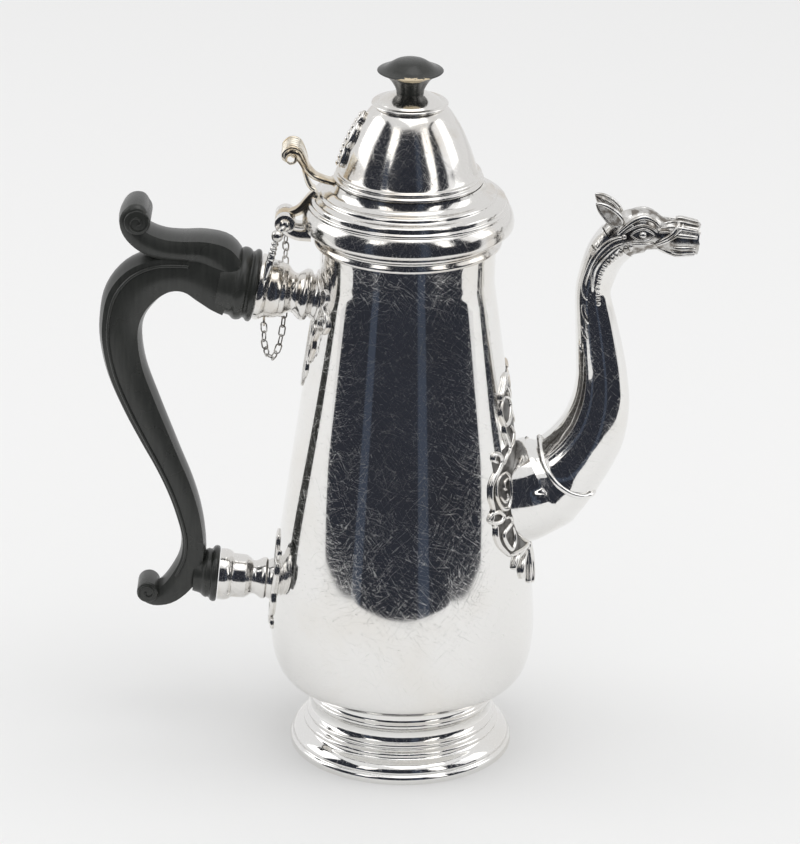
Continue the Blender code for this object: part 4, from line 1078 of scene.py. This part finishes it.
spout_outline = [(-0.1, 145.6), (-8.4, 145.1), (-12.7, 141.9), (-15.2, 139.0), (-15.9, 134.0),
                 (-14.5, 129.6), (-15.0, 126.6), (-13.6, 121.4), (-21.0, 120.9), (-23.6, 119.8),
                 (-24.9, 113.7), (-27.6, 106.9), (-27.6, 102.8), (-29.6, 99.5), (-27.8, 96.1),
                 (-28.0, 92.4), (-27.0, 88.1), (-23.4, 83.1), (-0.1, 79.8)]
socket_outline = [(y - 0.1, z) for y, z in socket_scrolls[0][1]]
foot_outline = [(y - 0.1, z) for y, z in foot_scrolls[0][1]]
# the backing sheets are painted shade, with some tarnish, in the openings between the scrolls
for name, outline, side in (("spout_plate_back", spout_outline, 1), ("socket_plate_back", socket_outline, -1),
                            ("lower_plate_back", foot_outline, -1)):
    settle(backing(outline, side), name, tarnish_and_shade_silver, "pot", (), 60.0)
for name, scrolls, side, node in (("spout_scrollwork", spout_scrolls, 1, "spout_backplate"),
                                  ("socket_scrollwork", socket_scrolls, -1, "upper_backplate"),
                                  ("lower_scrollwork", foot_scrolls, -1, "lower_backplate")):
    settle(pierced_plate(scrolls, side), name, trim_silver, "pot", [node], 50.0)

# %% [markdown]
# ## Hinge, thumbpiece and strap
#
# The lid turns on a loose pin through three knuckles, two on the body and one on the lid. A
# curled thumbpiece stands over it, and a small pierced strap lies on the dome behind it. The
# thumbpiece is drawn out along its path like the handle, only flatter, and it ends in a fan
# of six flutes that curl over. Swelling wires make the flutes, as they do on the head.

# %% Thumbpiece
rest_path = [(-26.0, 214.6, 0.9, 2.6), (-29.5, 215.4, 1.0, 2.6), (-33.0, 217.0, 1.1, 2.8),
             (-35.6, 219.8, 1.3, 3.6), (-37.2, 223.4, 1.7, 5.0), (-39.2, 226.4, 2.2, 6.0),
             (-41.6, 226.9, 1.9, 6.2), (-43.0, 225.1, 1.1, 6.2), (-42.7, 223.5, 0.6, 6.0)]
thumb_rest = draw_out(flowing(rest_path, 4), 0.5)
leg_path = [(-36.6, 220.6, 1.0, 2.4), (-35.6, 216.0, 0.9, 2.3), (-34.4, 213.2, 0.9, 2.2),
            (-32.8, 211.9, 0.8, 2.2)]
leg = draw_out(flowing(leg_path, 4), 0.5)
FLUTES_AT, FAN_SIDE = (-5.2, -3.1, -1.0, 1.0, 3.1, 5.2), 6.2
flutes = [swelling([(-35.4, y * 0.6, 221.0), (-36.6, y * 0.85, 224.6), (-38.4, y, 227.9),
                    (-41.4, y, 228.5), (-43.7, y, 226.3), (-43.4, y, 223.9)], 0.75, 0.4)
          for y in FLUTES_AT]
curl_line = [(-42.4, 223.9), (-41.2, 223.1), (-39.6, 223.7), (-39.4, 225.5), (-40.8, 226.5)]
curls = [swelling([(x, side * FAN_SIDE, z) for x, z in curl_line], 0.5, 0.5) for side in (-1, 1)]
thumbpiece = join([thumb_rest, leg, bead_strings(flutes + curls, 8)])
settle(thumbpiece, "thumb_scroll", warm_silver, "lid", ["thumbpiece"], 45.0)

# %% Strap on the dome
dome_curve = flowing(dome_out[1:10], 5)
strap_lines = [
    (1.1, [(0.0, 240.2), (-1.8, 238.6), (-1.4, 236.6), (-3.4, 235.0), (-4.4, 231.6), (-3.2, 228.4),
           (-4.2, 225.0), (-3.8, 222.2), (0.0, 221.0)]),
    (0.8, [(0.0, 236.0), (-1.8, 233.0), (-1.4, 229.4), (0.0, 227.0)]),
    (0.7, [(0.0, 226.2), (-1.8, 224.2), (0.0, 222.4)]),
]
strap_strings = []
for radius, line in strap_lines:
    for hand in (-1, 1):
        laid = [on_round(dome_curve, hand * y, z, 0.8, -1) for y, z in flowing(line, 3)]
        strap_strings.append(swelling(laid, radius, 0.6))
BEADS, BEAD_STEP, LOWEST_BEAD = 9, 2.2, 221.6
for k in range(BEADS):
    strap_strings.append(bead(*on_round(dome_curve, 0.0, LOWEST_BEAD + BEAD_STEP * k, 1.1, -1), 1.25))
settle(bead_strings(strap_strings, 8), "lid_scroll_strap", trim_silver, "lid", ["lid_strap"], 50.0)

# %% [markdown]
# A knuckle is a barrel round the pin with an arm that runs to its plate. The barrel is a
# cylinder whose rims a Bevel modifier softens, because a sharp rim would show as a black
# line in polished silver. The pin is spun standing up and then laid across the pot.

# %% Knuckles
PIN_X, PIN_Z, BARREL_RADIUS = -43.0, 200.5, 3.6


def knuckle(y, half, arm_path):
    """A barrel round the pin with softened rims, joined to its arm."""
    deselect()
    bpy.ops.mesh.primitive_cylinder_add(vertices=40, radius=BARREL_RADIUS * MM, depth=2 * half * MM,
                                        location=((AXIS_X + PIN_X) * MM, y * MM, PIN_Z * MM),
                                        rotation=(math.pi / 2, 0.0, 0.0))
    barrel = bpy.context.object
    bpy.ops.object.transform_apply(location=True, rotation=True)
    with_modifier(barrel, "BEVEL", width=0.35 * MM, segments=3, limit_method="ANGLE")
    arm = draw_out(flowing(arm_path, 4), 0.7)
    arm.location = (0.0, y * MM, 0.0)
    bpy.ops.object.transform_apply(location=True)
    return join([barrel, arm])


lug = knuckle(0.0, 2.15, [(PIN_X, 201.8, 1.3, 2.1), (-41.0, 202.8, 1.3, 2.1), (-38.8, 203.6, 1.5, 2.1),
                          (-36.6, 205.2, 1.8, 2.1), (-35.0, 207.6, 1.6, 2.1), (-33.6, 209.8, 1.2, 2.1),
                          (-32.4, 211.2, 0.9, 2.1)])
settle(lug, "knuckle_lid", warm_silver, "lid", ["lid_hinge_lug"], 40.0)
for name, node, side in (("knuckle_near", "body_knuckle_near", -1), ("knuckle_far", "body_knuckle_far", 1)):
    arm_line = [(PIN_X, 198.4, 1.5, 1.8), (-39.0, 196.4, 1.8, 1.8), (-33.9, 196.2, 2.1, 1.8)]
    piece = knuckle(side * 4.35, 1.8, arm_line)
    settle(piece, name, trim_silver, "pot", [node], 40.0)

# %% Hinge pin with domed heads
pin_line = [(0.0, -8.6), (1.2, -8.5), (1.8, -8.0), (1.9, -7.3), (1.4, -6.9), (1.4, 6.9), (1.9, 7.3),
            (1.8, 8.0), (1.2, 8.5), (0.0, 8.6)]
pin = spin_up(pin_line, 48, 0.0)
pin.rotation_euler = (math.pi / 2, 0.0, 0.0)
pin.location = ((AXIS_X + PIN_X) * MM, 0.0, PIN_Z * MM)
settle(pin, "pin_turned", trim_silver, "pin", ["hinge_pin"], 40.0)

# %% [markdown]
# A reeded drop hangs from the pin's near end by a small elbow, and turns with the pin. It is
# spun about its own middle, and then turned so that its axis runs from its top to its tip.

# %% Drop that hangs from the pin
drop_line = [(0.0, 0.0), (1.1, -0.2), (2.0, -1.2), (2.1, -2.4), (1.6, -3.6), (0.9, -4.3), (1.3, -4.8),
             (1.3, -5.4), (0.9, -5.9), (1.3, -6.8), (1.1, -7.5), (1.4, -8.4), (1.2, -9.2), (1.4, -10.4),
             (1.2, -11.2), (1.4, -12.4), (1.2, -14.2), (0.9, -16.0), (0.6, -17.6), (0.7, -18.4),
             (0.4, -19.2), (0.0, -19.4)]
drop = spin_up(flowing(drop_line, 4), 32, 0.0)
hang_top, hang_tip = Vector((-44.9, -9.3, 199.6)), Vector((-50.0, -12.1, 181.0))
drop.rotation_euler = (hang_top - hang_tip).to_track_quat("Z", "Y").to_euler()
drop.location = ((AXIS_X + hang_top.x) * MM, hang_top.y * MM, hang_top.z * MM)
elbow = swelling([(PIN_X, -7.6, 200.3), (-43.8, -8.8, 199.8), (-45.2, -9.4, 198.4)], 1.0, 0.8)
bpy.ops.object.transform_apply(location=True, rotation=True)
hanging_drop = join([drop, bead_strings([elbow], 8)])
settle(hanging_drop, "drop_turned", cast_silver, "pin", ["pin_drop"], 40.0)

# %% [markdown]
# ## Chain
#
# A chain of small round-wire links runs from a ring on the pin's far end to a staple in the
# handle's inner edge. One link is modelled, as a ring pulled out into an oval, and copied.
# Each copy is turned to the long, the wide and the thin direction of the link it stands for,
# which are the directions in which that link's points spread most, less and least. An array
# along a curve would be quicker to set up, but here every link has a place of its own.

# %% One link
LINK_WIRE, LINK_BEND, PULLED = 0.27, 1.13, 0.85  # radii of the wire and the ends, and half the straight part
deselect()
bpy.ops.mesh.primitive_torus_add(major_segments=28, minor_segments=12, major_radius=LINK_BEND * MM,
                                 minor_radius=LINK_WIRE * MM)
link = bpy.context.object
for vertex in link.data.vertices:
    vertex.co.x += PULLED * MM * (1 if vertex.co.x > 0.01 * MM else -1 if vertex.co.x < -0.01 * MM else 0)
print("one link:", len(link.data.polygons), "faces")


def stance(node):
    """Matrix from the model's directions to those of a CAD link."""
    points = np.array([tuple(v.co) for v in node.data.vertices])
    centre = (points.min(axis=0) + points.max(axis=0)) / 2
    directions = np.linalg.eigh(np.cov((points - points.mean(axis=0)).T))[1]
    along, wide = Vector(directions[:, 2]), Vector(directions[:, 1])
    turn = Matrix((along, wide, along.cross(wide))).transposed().to_4x4()
    return Matrix.Translation(Vector(centre)) @ turn


link_nodes = sorted(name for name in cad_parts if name.startswith("chain_link"))
for number, name in enumerate(link_nodes):
    copy = link.copy()
    copy.data = link.data.copy()
    copy.data.transform(stance(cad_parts[name]))
    bpy.context.scene.collection.objects.link(copy)
    settle(copy, "link_" + name[-2:], dark_silver, "pot", [name], 60.0)
bpy.data.objects.remove(link)


# %% [markdown]
# The ring and the staple that end the chain are bent from thicker wire, and each is closed
# with a little solder. A wire with one wider place along it shows that, and a torus doesn't.

# %% Ring and staple
def wire_ring(centre, radius, thick, across):
    """A ring of wire whose ends meet in a small blob of solder; across is its flat axis."""
    x, y, z = centre
    points = []
    for k in range(41):
        a = k * math.pi / 20
        u, v = radius * math.cos(a), radius * math.sin(a)
        wider = thick * (1.0 + 0.12 * max(0.0, math.cos(a - 2.0)) ** 8)
        points.append((x + u, y, z + v, wider) if across == "Y" else (x, y + u, z + v, wider))
    return bead_strings([points], 10)


ring = wire_ring((PIN_X, 7.4, 199.6), 2.85, 0.4, "Y")
settle(ring, "ring_of_wire", trim_silver, "pot", ["chain_ring"])
staple = wire_ring((-50.35, 0.0, 161.95), 1.45, 0.4, "X")
settle(staple, "staple_of_wire", trim_silver, "pot", ["chain_staple"])

# %% [markdown]
# The screw, washer and nut inside the lid and the two pins through the sockets are plain
# enough as the frame has them. They keep their meshes and only take the trim's finish, on
# the object's slot and not on the mesh's, so the mesh itself stays untouched.

# %% Small turned parts that keep their shape
kept_nodes = ("finial_screw", "finial_nut", "finial_washer", "upper_tenon_pin", "lower_tenon_pin")
for name in kept_nodes:
    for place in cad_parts[name].material_slots:
        place.link = "OBJECT"
        place.material = trim_silver
print("kept from the frame:", kept_nodes)
